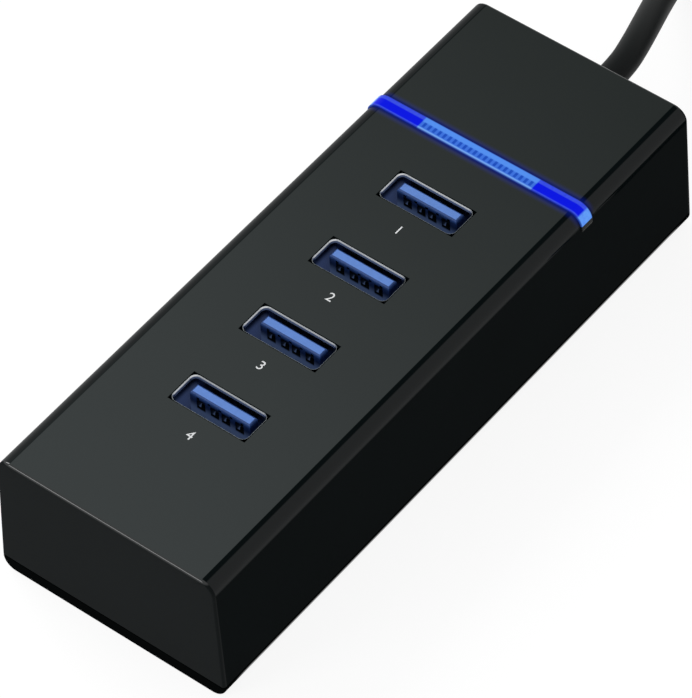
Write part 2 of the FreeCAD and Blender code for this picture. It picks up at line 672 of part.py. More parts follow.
def plug_insulator_z():
    """(bottom, top) of the slab inside the plug's mouth."""
    bottom = PLUG_Z - PLUG_SHELL[1] / 2 + PLUG_SHEET + 0.03
    return bottom, bottom + PLUG_TONGUE_THICK


def plug_contact_bars(top):
    """Four long and five short contacts on the plug's insulator, up to height top."""
    tip, _ = plug_span()
    low = plug_insulator_z()[1] - 0.2
    rows = ((SPRING_XS, PLUG_PAD, PLUG_PAD_YS), (PAD_XS, PLUG_FAST_PAD, PLUG_FAST_PAD_YS))
    return [block((TAIL_X + x - width / 2, TAIL_X + x + width / 2),
                  (tip + span[0], tip + span[1]), (low, top))
            for xs, width, span in rows for x in xs]


def plug_insulator():
    """Blue slab that fills the lower half of the plug's mouth."""
    tip, rear = plug_span()
    half = PLUG_SHELL[0] / 2 - PLUG_SHEET - 0.05
    low, high = plug_insulator_z()
    slab = block((TAIL_X - half, TAIL_X + half), (tip + 0.3, rear - 0.1), (low, high))
    mouth = plug_bar([s - 2 * PLUG_SHEET - 0.05 for s in PLUG_SHELL], (tip, rear))
    return without(slab.common(mouth), plug_contact_bars(high + 1))


def make_pieces():
    """Every node's name with its shape."""
    outside = envelope()
    pieces = {
        "upper_shell": upper_shell(outside),
        "bottom_cover": bottom_cover(outside),
        "light_pipe": light_pipe(),
        "circuit_board": circuit_board(),
        "board_screws": screws(),
    }
    for number in range(1, PORT_COUNT + 1):
        y = port_y(number)
        pieces[f"port_{number}_shell"] = port_shell(y)
        pieces[f"port_{number}_insulator"] = port_insulator(y)
        pieces[f"port_{number}_contacts"] = port_contacts(y)
    between = [(port_y(n) + port_y(n + 1)) / 2 for n in range(1, PORT_COUNT)]
    pieces["hub_controller"] = chip(CONTROLLER_SIZE, 0, between[1], legs=12)
    pieces["crystal"] = chip(CRYSTAL_SIZE, CRYSTAL_X, between[1])
    pieces["voltage_regulator"] = chip(REGULATOR_SIZE, *REGULATOR_AT, legs=3)
    pieces["resettable_fuse"] = chip(FUSE_SIZE, *FUSE_AT)
    pieces["can_capacitors"] = can_capacitors()
    pieces["ceramic_capacitors"] = small_parts(
        CERAMIC_SIZE, [(sx * CERAMIC_AT[0], y + sy * CERAMIC_AT[1])
                       for y in between for sx in (-1, 1) for sy in (-1, 1)])
    pieces["resistors"] = small_parts(
        RESISTOR_SIZE, [(RESISTOR_AT[0], y + sy * RESISTOR_AT[1])
                        for y in between for sy in (-1, 1)])
    for name, side in (("led_left", -1), ("led_right", 1)):
        pieces[name] = chip(LED_SIZE, side * LED_X, PIPE_Y)
    pieces["strain_relief"] = strain_relief()
    pieces["cord_inner_end"] = Part.makeCylinder(
        CORD / 2, RELIEF_END_Y - JACKET_END_Y, Vec(0, JACKET_END_Y, CORD_Z), Vec(0, 1, 0))
    pieces["cord_wires"] = cord_wires()
    pieces["solder_joints"] = solder_joints()
    pieces["cord_lead"] = cord_tube("cord_lead", LEAD_ROUTE)
    pieces["cord_coil"] = cord_coil()
    pieces["cord_tail"] = cord_tube("cord_tail", TAIL_ROUTE)
    pieces["cord_tie"] = cord_tie()
    pieces["plug_grip"] = plug_grip()
    pieces["plug_shell"] = plug_shell()
    pieces["plug_insulator"] = plug_insulator()
    pieces["plug_contacts"] = Part.makeCompound(plug_contact_bars(plug_insulator_z()[1] + 0.02))
    return pieces


def main():
    os.makedirs("parts", exist_ok=True)
    for name, shape in make_pieces().items():
        solids = shape.Solids
        good = all(s.isValid() and s.Volume > 0 for s in solids)
        print(name, len(solids), "solids", "ok" if good and solids else "BAD")
        shape = solids[0] if len(solids) == 1 else Part.makeCompound(solids)
        shape.exportStep(f"parts/{name}.step")


main()
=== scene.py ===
"""Looks of a four-port desktop hub with a captive cord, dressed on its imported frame.

Metres, in the frame's own axes: X runs across the hub, Y along it (the cord leaves the +Y end),
Z is up and the hub rests on Z = 0. Places come from the frame's nodes wherever it has them.
"""

import logging
import math
from dataclasses import dataclass
from enum import Enum
from typing import Any, Callable

import bmesh
import bpy
import numpy as np
from mathutils import Matrix, Vector


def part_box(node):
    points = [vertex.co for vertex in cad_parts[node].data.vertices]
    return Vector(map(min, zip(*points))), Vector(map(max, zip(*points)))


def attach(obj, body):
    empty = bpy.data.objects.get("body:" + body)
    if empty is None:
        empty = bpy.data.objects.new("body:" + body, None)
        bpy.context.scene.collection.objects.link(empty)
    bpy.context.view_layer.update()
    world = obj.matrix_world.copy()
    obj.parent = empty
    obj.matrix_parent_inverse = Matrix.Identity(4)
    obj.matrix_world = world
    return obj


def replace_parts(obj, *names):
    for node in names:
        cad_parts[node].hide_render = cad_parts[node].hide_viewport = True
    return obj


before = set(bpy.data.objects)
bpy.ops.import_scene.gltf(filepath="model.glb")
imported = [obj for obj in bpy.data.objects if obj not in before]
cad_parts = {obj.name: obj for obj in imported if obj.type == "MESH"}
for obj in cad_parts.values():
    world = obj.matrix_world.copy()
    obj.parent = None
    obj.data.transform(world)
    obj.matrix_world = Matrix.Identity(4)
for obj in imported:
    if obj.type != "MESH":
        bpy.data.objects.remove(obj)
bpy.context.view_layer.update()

log = logging.getLogger("hub")
Colour = tuple[float, float, float]
Point = tuple[float, float, float]
Span = tuple[float, float]  # two ends of a stretch, or where a share is 0 and where it is 1
Number = float | int

MM = 0.001
QUARTER = math.pi / 2
BODY = "root"
WELD = 1e-7  # points nearer than this are one point
PIPE_HALF = 1.3 * MM  # half the width of the light pipe's strip
PIPE_FOOT = 21.5 * MM  # height at which the strip ends on each wall
BLACK: Colour = (0.0, 0.0, 0.0)
WHITE: Colour = (1.0, 1.0, 1.0)


class Slot(str, Enum):
    """The record's material slots."""

    HOUSING = "housing_black"
    BASE = "base_black"
    PIPE = "pipe_blue"
    STEEL = "port_steel"
    INSULATOR = "port_blue"
    GOLD = "contact_gold"
    BOARD = "board_green"
    CHIP = "chip_black"
    CAN = "can_metal"
    PART = "part_tan"
    CRYSTAL = "crystal_metal"
    LED = "led_white"
    SOLDER = "solder_tin"
    SCREW = "screw_steel"
    WIRE = "wire_insulation"
    CORD = "cord_black"
    GRIP = "grip_black"
    TIE = "tie_black"
    LABEL = "label_white"


def mm(*sizes: float) -> tuple[float, ...]:
    """Millimetres in metres."""
    return tuple(size * MM for size in sizes)


def inward(reach: float, span: Span) -> Span:
    """Places that lie a span in from a face at reach."""
    return reach - span[0], reach - span[1]


# ---------------------------------------------------------------- shading


def operator(operation: str, reflected: bool = False) -> Callable[["Value", Any], "Value"]:
    """One of Python's operators for Value.

    Args:
        operation: of the Math node.
        reflected: whether the other operand stands in front.

    Returns:
        The method, which adds the node.
    """

    def method(self: "Value", other: "Value | Number") -> "Value":
        """One Math node on the two operands."""
        return self.maths(operation, *((other, self) if reflected else (self, other)))

    return method


class Value:
    """A shader socket that takes part in Python arithmetic; each expression adds its Math nodes."""

    def __init__(self, shading: "Shading", socket: bpy.types.NodeSocket) -> None:
        """Wraps one output socket of a tree."""
        self.shading = shading
        self.socket = socket

    def maths(self, operation: str, *values: "Value | Number") -> "Value":
        """One Math node on these values, in order."""
        return self.shading.add("ShaderNodeMath", {"operation": operation}, dict(enumerate(values)))

    __add__, __radd__ = operator("ADD"), operator("ADD", True)
    __sub__, __rsub__ = operator("SUBTRACT"), operator("SUBTRACT", True)
    __mul__, __rmul__ = operator("MULTIPLY"), operator("MULTIPLY", True)
    __truediv__, __mod__ = operator("DIVIDE"), operator("FLOORED_MODULO")

    def __abs__(self) -> "Value":
        """Size without sign."""
        return self.maths("ABSOLUTE", self)

    def step(self, low: Number, high: Number) -> "Value":
        """Rises smoothly from 0 at low to 1 at high, and falls where low is the larger."""
        bounds = {0: self, 1: min(low, high), 2: max(low, high), 3: 0.0, 4: 1.0}
        if high < low:
            bounds |= {3: 1.0, 4: 0.0}
        return self.shading.add("ShaderNodeMapRange", {"interpolation_type": "SMOOTHSTEP"}, bounds)

    def between(self, rise: Span, fall: Span) -> "Value":
        """1 in a band that comes in over the first span and goes out over the second."""
        return self.step(*rise) * self.step(*fall)


class Shading:
    """The node tree of one material or world, grown one node at a time."""

    def __init__(self, name: str, world: bool = False) -> None:
        """Starts an empty tree in a new material, or in a new world."""
        self.block = (bpy.data.worlds if world else bpy.data.materials).new(name)
        self.block.use_nodes = True
        self.tree = self.block.node_tree
        self.tree.nodes.clear()

    def add(self, kind: str, settings: dict[str, Any] | None = None,
            sockets: dict[Any, Any] | None = None, output: int | str = 0) -> Value:
        """One node of any kind.

        Args:
            kind: the node's type.
            settings: its own properties, set first.
            sockets: numbers, colours or values for its inputs, by name or by place.
            output: the output wanted, by name or by place.

        Returns:
            The wanted output as a value.
        """
        node = self.tree.nodes.new(kind)
        for key, value in (settings or {}).items():
            setattr(node, key, value)
        for key, value in (sockets or {}).items():
            if isinstance(value, Value):
                self.tree.links.new(value.socket, node.inputs[key])
            else:
                node.inputs[key].default_value = value
        return Value(self, node.outputs[output])

    def here(self) -> Value:
        """The surface point's own coordinates."""
        return self.add("ShaderNodeTexCoord", output="Object")

    def place(self) -> tuple[Value, Value, Value]:
        """The surface point's own X, Y and Z."""
        sockets = {0: self.here()}
        return tuple(self.add("ShaderNodeSeparateXYZ", sockets=sockets, output=i) for i in range(3))

    def noise(self, size: float, detail: float = 3.0, stretch: Point = (1.0, 1.0, 1.0)) -> Value:
        """Cloudy noise about 0.5, its features of this size in metres, stretched along the axes."""
        sockets = {0: self.here(), "Scale": tuple(1 / s for s in stretch)}
        drawn = self.add("ShaderNodeMapping", sockets=sockets)
        sockets = {"Vector": drawn, "Scale": 1 / size, "Detail": detail}
        return self.add("ShaderNodeTexNoise", sockets=sockets)

    def blend(self, factor: Value | Number, first: Any, second: Any) -> Value:
        """Two colours mixed by a factor."""
        first, second = (c if isinstance(c, Value) else (*c, 1.0) for c in (first, second))
        sockets = {0: factor, 6: first, 7: second}
        return self.add("ShaderNodeMix", {"data_type": "RGBA"}, sockets, output=2)

    def mottled(self, cloud: Value, colour: Colour, dark: float, light: float) -> Value:
        """A colour that wanders with a cloud between a darker and a lighter self."""
        return self.blend(cloud, scaled(colour, dark), scaled(colour, light))

    def bump(self, height: Value, distance: float) -> Value:
        """A surface normal tilted by a height from 0 to 1 over this distance in metres."""
        sockets = {"Strength": 1.0, "Distance": distance, "Height": height}
        return self.add("ShaderNodeBump", sockets=sockets)

    def finish(self, **sockets: Any) -> bpy.types.Material:
        """Closes the tree with one Principled shader.

        Args:
            sockets: its inputs, with underscores for spaces; an emission has strength 1.

        Returns:
            The material.
        """
        if "Emission_Color" in sockets:
            sockets["Emission_Strength"] = 1.0
        named = {key.replace("_", " "): (*value, 1.0) if isinstance(value, tuple) else value
                 for key, value in sockets.items()}
        self.add_output(self.add("ShaderNodeBsdfPrincipled", sockets=named))
        return self.block

    def add_output(self, surface: Value, kind: str = "ShaderNodeOutputMaterial") -> None:
        """Sends a shader to the tree's output."""
        output = self.tree.nodes.new(kind)
        self.tree.links.new(surface.socket, output.inputs["Surface"])


def scaled(colour: Colour, factor: float) -> Colour:
    """A colour made lighter or darker."""
    return tuple(min(1.0, c * factor) for c in colour)


@dataclass(frozen=True)
class Plastic:
    """Moulded plastic, rubber or lacquered ware with a fine skin."""

    name: str
    colour: Colour
    roughness: float
    grain: float = 0.25 * MM  # size of the skin's texture
    relief: float = 0.004 * MM  # depth of that texture
    mottle: float = 0.18  # how far the colour wanders
    specular: float = 0.5

    def material(self) -> bpy.types.Material:
        """Colour and roughness wander slowly, and fine noise lifts the skin."""
        shading = Shading(self.name)
        cloud = shading.noise(20 * self.grain)
        skin = shading.noise(self.grain, 2.0)
        return shading.finish(
            Base_Color=shading.mottled(cloud, self.colour, 1 - self.mottle, 1 + self.mottle),
            Roughness=self.roughness * (0.85 + 0.3 * cloud), Specular_IOR_Level=self.specular,
            Normal=shading.bump(skin, self.relief))


@dataclass(frozen=True)
class Metal:
    """Plated or rolled sheet, with the fine lines of its rolling along one axis."""

    name: str
    colour: Colour
    roughness: float
    rolled: Point = (1.0, 1.0, 6.0)  # stretch of the lines along each axis
    line: float = 0.12 * MM
    relief: float = 0.002 * MM

    def material(self) -> bpy.types.Material:
        """Stretched noise marks the rolling in colour, roughness and height."""
        shading = Shading(self.name)
        lines = shading.noise(self.line, 4.0, self.rolled)
        cloud = shading.noise(12 * self.line)
        return shading.finish(
            Base_Color=shading.mottled(cloud, self.colour, 0.86, 1.06), Metallic=1.0,
            Roughness=self.roughness * (0.7 + 0.35 * lines + 0.25 * cloud),
            Normal=shading.bump(lines, self.relief))


@dataclass(frozen=True)
class Lacquer:
    """The hub's black moulding: a mirror-bright roof over dull walls, with a painted blue glow
    beside the light pipe.
    """

    name: str
    roof_z: float
    reach_y: float  # half the hub's length
    pipe_y: float
    pipe_half: float  # half the light pipe's width
    colour: Colour = (0.0032, 0.0052, 0.0056)
    end_coat: float = 0.115  # clear coat of the end walls
    side_coat: float = 0.029
    edge_coat: float = 0.36  # of the two long round edges
    line_loss: float = 0.02  # coat lost in the dull line along each long edge
    line_left: float = 0.2  # how strong that line is on the -X side
    # painted blue glow beside the pipe
    glow: Colour = (0.0, 0.004, 0.115)
    glow_reach: float = 1.3 * MM  # beside the pipe
    glow_depth: float = 2 * MM
    flat: Span = mm(0.008, 0.002)  # depth below the roof within which the coat is full
    line: Span = mm(0.18, 0.11)  # the same for the dull line,
    band: Span = mm(2.3, 1.7)  # for the long round edges,
    end_top: Span = mm(0.45, 0.2)  # for the end walls' round edges
    worn: Span = mm(2.4, 2.0)  # and for the wear beside the pipe
    wear_reach: Span = mm(0.65, 0.15)  # from the pipe
    wear: float = 0.75
    end: Span = mm(0.68, 0.62)  # in from the end walls

    def beside(self, shading: Shading) -> Value:
        """Distance from the light pipe's nearer edge along Y."""
        return abs(shading.place()[1] - self.pipe_y) - self.pipe_half

    def coat(self, shading: Shading) -> Value:
        """The clear coat's weight: full on the roof, least in a line along each long round edge's
        top, thin on the walls, and worn off close to the light pipe."""
        x, y, z = shading.place()
        drop = self.roof_z - z
        end = abs(y).step(*inward(self.reach_y, self.end))
        wall = self.side_coat + (self.end_coat - self.side_coat) * end
        right = self.line_left + (1 - self.line_left) * x.step(-MM, MM)
        line = drop.step(*self.line) * (1 - end) * right
        band = drop.step(*self.band) * (1 - line) * (1 - end)
        coat = wall + (self.edge_coat - self.side_coat) * band - self.line_loss * line
        coat = coat + (1 - coat) * (drop.step(*self.end_top) * end)
        coat = coat + (1 - coat) * drop.step(*self.flat)
        near = self.beside(shading).step(*self.wear_reach)
        return coat * (1 - self.wear * near * drop.step(*self.worn))

    def material(self) -> bpy.types.Material:
        """A painted blue glow fades out beside the pipe; slow haze and fine wear vary colour and
        gloss.
        """
        shading = Shading(self.name)
        z = shading.place()[2]
        # painted blue glow beside the pipe, fading with the depth below the roof
        lit = self.beside(shading).step(self.glow_reach, 0.0)
        lit = lit * z.step(self.roof_z - self.glow_depth, self.roof_z)
        wear = shading.noise(0.35 * MM, 5.0, (1.0, 8.0, 1.0))
        return shading.finish(
            Base_Color=shading.mottled(shading.noise(18 * MM), self.colour, 0.8, 1.2),
            Roughness=0.30 + 0.10 * wear, Specular_IOR_Level=0.0,
            Coat_Weight=self.coat(shading), Coat_Roughness=0.03,
            Emission_Color=shading.blend(lit, BLACK, self.glow),
            Normal=shading.bump(shading.noise(2.2 * MM, 1.0), 0.0015 * MM))


@dataclass(frozen=True)
class CoverMoulding:
    """The bottom cover's dull black moulding, rubbed shiny along its two long lower edges."""

    name: str
    reach_x: float  # half the hub's width
    reach_y: float  # half its length
    colour: Colour = (0.0030, 0.0036, 0.0037)
    edge_coat: float = 1.0
    side: Span = mm(1.3, 0.9)  # the rubbed edge begins this far in from the sides,
    low: Span = mm(2.2, 1.9)  # below this height
    end: Span = mm(2.0, 6.0)  # and this far in from the ends

    def material(self) -> bpy.types.Material:
        """The coat is there only on the round edge; noise varies colour and gloss."""
        shading = Shading(self.name)
        x, y, z = shading.place()
        cloud = shading.noise(6 * MM)
        edge = abs(x).step(*inward(self.reach_x, self.side)) * z.step(*self.low)
        edge = edge * abs(y).step(*inward(self.reach_y, self.end))
        return shading.finish(
            Base_Color=shading.mottled(cloud, self.colour, 0.82, 1.18),
            Roughness=0.36 + 0.12 * cloud, Specular_IOR_Level=0.0,
            Coat_Weight=self.edge_coat * edge, Coat_Roughness=0.12,
            Normal=shading.bump(shading.noise(0.3 * MM, 2.0), 0.01 * MM))


@dataclass(frozen=True)
class GlowingPipe:
    """Clear blue strip lit from inside: bright over its moulded ladder of ticks, deep blue towards
    both ends. Places across the strip run from -1 at one long edge to 1 at the other."""

    name: str
    centre_y: float
    half_width: float
    ladder: Span = mm(10.45 + 0.15, 10.45 - 0.15)  # the ladder ends here, each side of the middle
    pitch: float = 0.93 * MM
    tick_width: Span = (0.34, 0.16)  # from its middle, in pitches
    tick_start: Span = (-0.66, -0.52)
    tick_end: Span = (0.26, 0.08)
    bright_from: Span = (0.0, 0.30)
    rail_from: Span = (-0.62, -0.80)
    streaks: tuple[Span, Span] = ((0.28, 0.46), (-0.66, -0.82))
    rim_from: Span = (0.80, 1.0)
    rim_off: float = 0.03
    bright: Colour = (0.088, 0.28, 0.85)
    middle: Colour = (0.045, 0.165, 0.70)
    rail: Colour = (0.17, 0.38, 0.84)
    deep: Colour = (0.0, 0.0045, 0.74)
    streak: Colour = (0.042, 0.080, 0.74)
    tick: Colour = (0.006, 0.062, 0.46)
    rim: Colour = (0.001, 0.010, 0.20)
    tip: Colour = (0.120, 0.340, 0.90)
    painted: Colour = (0.0035, 0.0042, 0.0045)
    tip_z: Span = mm(24.05 + 0.12, 24.05 - 0.15)  # below this the strip's end is bright again
    end_z: Span = mm(22.5 + 0.05, 22.5 - 0.05)  # and below this it is painted black

    def material(self) -> bpy.types.Material:
        """Bands across the strip follow Y, the ladder's ticks repeat along X."""
        shading = Shading(self.name)
        x, y, z = shading.place()
        across = (y - self.centre_y) / self.half_width
        cloud = shading.noise(0.5 * MM, 4.0)
        rung = abs((x % self.pitch) / self.pitch - 0.5)
        tick = rung.step(*self.tick_width) * across.between(self.tick_start, self.tick_end)
        lit = across.step(*self.bright_from) * (0.75 + 0.35 * cloud)
        lit = shading.blend(lit, self.middle, self.bright)
        lit = shading.blend(across.step(*self.rail_from), lit, self.rail)
        lit = shading.blend(tick * (0.55 + 0.6 * cloud), lit, self.tick)
        edge = across.step(*self.streaks[0]) + across.step(*self.streaks[1])
        dim = shading.blend(edge * (0.45 + 0.9 * cloud), self.deep, self.streak)
        dim = shading.blend(z.step(*self.tip_z) * (0.6 + 0.6 * cloud), dim, self.tip)
        colour = shading.blend(abs(x).step(*self.ladder), dim, lit)
        rim = abs(across + self.rim_off).step(*self.rim_from)
        colour = shading.blend(rim, colour, self.rim)
        paint = z.step(*self.end_z)
        return shading.finish(
            Base_Color=shading.blend(paint, scaled(self.rim, 0.1), self.painted), Roughness=0.25,
            Specular_IOR_Level=0.06, Emission_Color=shading.blend(paint, colour, BLACK))


@dataclass(frozen=True)
class BlueMoulding:
    """Blue translucent plastic: a receptacle tongue has a painted highlight on its tip, painted
    shade down its face and in its spring slots, and a painted blue glow at its foot; the plug's
    moulding, far below, is plain."""

    name: str
    centre_x: float
    tip_z: float
    # painted light: a highlight on the tip, a lit shoulder and a shaded face
    tip_highlight: Colour = (0.140, 0.285, 0.74)
    lit_shoulder_colour: Colour = (0.030, 0.075, 0.25)
    shaded_face_colour: Colour = (0.014, 0.034, 0.13)
    # near black: painted shade in the spring slots, and the dark end of the random tone
    slot_shade_and_mottle: Colour = (0.0008, 0.0015, 0.002)
    plug_colour: Colour = (0.015, 0.055, 0.30)
    # painted blue glow at the foot
    foot_glow: Colour = (0.026, 0.040, 0.080)
    springs: Span = mm(2.25, 1.25)  # each pair's middle, and half its spacing
    slot: Span = mm(0.74 + 0.06, 0.74)  # from a spring's middle
    slot_from: Span = mm(0.70, 0.95)  # these and the rest are depths below the tip
    slot_to: Span = mm(3.0, 2.6)
    shoulder: Span = mm(0.75, 0.35)
    tip: Span = mm(0.022, 0.004)
    plug: Span = mm(17.0, 17.6)
    foot_from: Span = mm(1.4, 3.4)
    foot_to: Span = mm(6.5, 4.5)

    def material(self) -> bpy.types.Material:
        """Colour runs from the painted highlight on the flat tip over its lighter round shoulder to
        the painted shade down the face, with the spring slots painted near black and noise
        darkening it a little at random; a fine grain lifts the skin."""
        shading = Shading(self.name)
        x, _, z = shading.place()
        below = self.tip_z - z
        cloud = shading.noise(0.8 * MM)
        from_spring = abs(abs(abs(x - self.centre_x) - self.springs[0]) - self.springs[1])
        slot = from_spring.step(*self.slot) * below.between(self.slot_from, self.slot_to)
        # painted shade down the face, lighter on the shoulder
        colour = shading.blend(below.step(*self.shoulder), self.shaded_face_colour, self.lit_shoulder_colour)
        # painted highlight on the flat tip
        colour = shading.blend(below.step(*self.tip), colour, self.tip_highlight)
        # painted shade in the spring slots
        colour = shading.blend(slot, colour, self.slot_shade_and_mottle)
        colour = shading.blend(below.step(*self.plug), colour, self.plug_colour)
        # random darker tone from noise
        colour = shading.blend(0.2 * cloud, colour, self.slot_shade_and_mottle)
        # painted blue glow at the foot, outside the slots
        foot = below.between(self.foot_from, self.foot_to) * (1 - slot)
        return shading.finish(
            Base_Color=colour, Roughness=0.34 + 0.08 * cloud, Specular_IOR_Level=0.2,
            Emission_Color=shading.blend(foot, BLACK, self.foot_glow),
            Normal=shading.bump(shading.noise(0.2 * MM, 2.0), 0.003 * MM))


@dataclass(frozen=True)
class PortSheet:
    """Nickel sheet of a receptacle: bright along its flared lip, with a painted highlight on the
    lip's -X end, painted shade within the mouth, and a painted blue glow, standing in for the
    moulding's reflected blue, on the side that faces the light."""

    name: str
    centre_x: float
    lip_z: float
    side_lip_highlight: Colour = (0.70, 0.71, 0.72)  # the lip's end on the -X side: a painted highlight
    lip: Colour = (0.40, 0.41, 0.42)
    # painted shade within the mouth; blended with the rolling lines it is also their own darker
    # tone
    inside: Colour = (0.05, 0.07, 0.13)
    # a painted blue glow, standing in for the moulding's reflected blue
    blue_glow: Colour = (0.020, 0.030, 0.070)
    roughness: float = 0.26
    side_highlight_from: Span = mm(5.9, 6.4)  # towards -X from the middle, where the painted highlight begins
    lit_from: Span = mm(5.6, 6.3)
    mouth: tuple[Span, Span] = (mm(0.14, 0.24), mm(16.0, 14.0))  # depths below the lip of the painted shade within the mouth
    lit: tuple[Span, Span] = (mm(0.9, 2.4), mm(8.0, 5.0))

    def material(self) -> bpy.types.Material:
        """Fine vertical lines of the rolling mark colour, roughness and height; the painted
        highlight, the painted shade in the mouth and the painted blue glow follow X and the depth
        below the lip.
        """
        shading = Shading(self.name)
        x, _, z = shading.place()
        below, side = self.lip_z - z, self.centre_x - x
        lines = shading.noise(0.12 * MM, 4.0, (1.0, 1.0, 6.0))
        # painted highlight on the lip's -X end
        colour = shading.blend(side.step(*self.side_highlight_from), self.lip, self.side_lip_highlight)
        colour = shading.blend(0.25 * lines, colour, self.inside)
        # painted shade within the mouth
        colour = shading.blend(below.between(*self.mouth), colour, self.inside)
        # painted blue glow on the side that faces the light
        lit = side.step(*self.lit_from) * below.between(*self.lit)
        return shading.finish(
            Base_Color=colour, Metallic=1.0, Roughness=self.roughness * (0.8 + 0.4 * lines),
            Emission_Color=shading.blend(lit, BLACK, self.blue_glow),
            Normal=shading.bump(lines, 0.002 * MM))


@dataclass(frozen=True)
class ContactGold:
    """Flashed contacts: painted shade within a mouth, and a painted blue glow at its foot."""

    name: str
    tip_z: float  # of the tongues; spans are depths below it
    colour: Colour = (0.85, 0.58, 0.22)
    shaded: Colour = (0.020, 0.016, 0.011)
    foot_glow: Colour = (0.026, 0.040, 0.080)
    shade: Span = mm(8.0, 6.0)
    foot: tuple[Span, Span] = (mm(3.2, 3.5), mm(6.5, 4.5))

    def material(self) -> bpy.types.Material:
        """Three heights: painted shade behind the spring slots, a painted blue glow at the foot,
        and plain far below.
        """
        shading = Shading(self.name)
        below = self.tip_z - shading.place()[2]
        cloud = shading.noise(0.4 * MM)
        colour = shading.mottled(cloud, self.colour, 0.85, 1.1)
        return shading.finish(
            # painted shade near the tongues' tips and a painted blue glow at the foot
            Base_Color=shading.blend(below.step(*self.shade), colour, self.shaded),
            Metallic=1.0, Roughness=0.22 + 0.1 * cloud,
            Emission_Color=shading.blend(below.between(*self.foot), BLACK, self.foot_glow))


@dataclass(frozen=True)
class BoardLacquer:
    """Green solder mask over copper runs, which show as paler stripes and steps."""

    name: str
    mask: Colour = (0.010, 0.075, 0.028)
    copper: Colour = (0.020, 0.150, 0.050)
    cell: float = 2.4 * MM
    line: Span = (0.32, 0.32 - 0.06)
    steps: float = 6.0  # stripes in each cell

    def material(self) -> bpy.types.Material:
        """Copper runs are the narrow bands of a stepped cell pattern."""
        shading = Shading(self.name)
        settings = {"feature": "F1", "distance": "CHEBYCHEV"}
        sockets = {"Vector": shading.here(), "Scale": 1 / self.cell}
        cells = shading.add("ShaderNodeTexVoronoi", settings, sockets)
        stripes = abs((cells * self.steps) % 1.0 - 0.5).step(*self.line)
        cloud = shading.noise(6 * MM)
        colour = shading.blend(stripes, self.mask, self.copper)
        colour = shading.blend(0.3 * cloud, colour, scaled(self.mask, 0.6))
        return shading.finish(Base_Color=colour, Roughness=0.28 + 0.1 * cloud,
                              Normal=shading.bump(stripes, 0.02 * MM))


@dataclass(frozen=True)
class WoundJacket:
    """The cord's soft jacket: matt, with faint lines where it was drawn and a little dust."""

    name: str
    colour: Colour = (0.0060, 0.0072, 0.0073)
    roughness: float = 0.5

    def material(self) -> bpy.types.Material:
        """Slow noise varies colour and gloss; fine noise gives the extruded skin."""
        shading = Shading(self.name)
        cloud = shading.noise(9 * MM)
        return shading.finish(
            Base_Color=shading.mottled(cloud, self.colour, 0.75, 1.3),
            Roughness=self.roughness + 0.1 * (cloud - 0.5), Specular_IOR_Level=0.08,
            Normal=shading.bump(shading.noise(0.30 * MM, 3.0), 0.01 * MM))


@dataclass(frozen=True)
class Woven:
    """Hook-and-loop webbing with ribs across the strap and loose loops."""

    name: str
    across: float  # X of the strap's middle line
    colour: Colour = (0.011, 0.011, 0.012)
    rib: float = 0.55 * MM

    def material(self) -> bpy.types.Material:
        """Ribs repeat across the strap; noise breaks them into loops, and the colour darkens with
        the same height: painted shade in the hollows, with random tone from the noise.
        """
        shading = Shading(self.name)
        x = shading.place()[0]
        ribs = abs(((x - self.across) % self.rib) / self.rib - 0.5) * 2
        height = ribs * 0.6 + shading.noise(0.22 * MM, 4.0) * 0.7
        # the colour follows this height: painted shade in the hollows, random tone from the noise
        return shading.finish(
            Base_Color=shading.mottled(height * 0.8, self.colour, 0.5, 1.8), Roughness=0.85,
            Specular_IOR_Level=0.2, Normal=shading.bump(height, 0.12 * MM))


# ---------------------------------------------------------------- surfaces


def row_quads(rows: int, columns: int, closed: bool = False) -> np.ndarray:
    """Quads of a grid of points, (rows - 1, columns - 1 or columns, 4), as indices in row order.

    A quad goes along the columns first and then along the rows, so its face looks along
    (column direction) x (row direction). A closed grid joins its last column to its first.
    """
    index = np.arange(rows * columns).reshape(rows, columns)
    if closed:
        index = np.concatenate((index, index[:, :1]), axis=1)
    return np.stack((index[:-1, :-1], index[:-1, 1:], index[1:, 1:], index[1:, :-1]), axis=-1)


def placed(name: str, data: bpy.types.ID) -> bpy.types.Object:
    """A new object at the origin, put in the scene."""
    made = bpy.data.objects.new(name, data)
    bpy.context.scene.collection.objects.link(made)
    return made


def adopt(made: bpy.types.Object) -> bpy.types.Object:
    """Lets a finished piece ride on the hub."""
    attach(made, BODY)
    log.info("made %s", made.name)
    return made


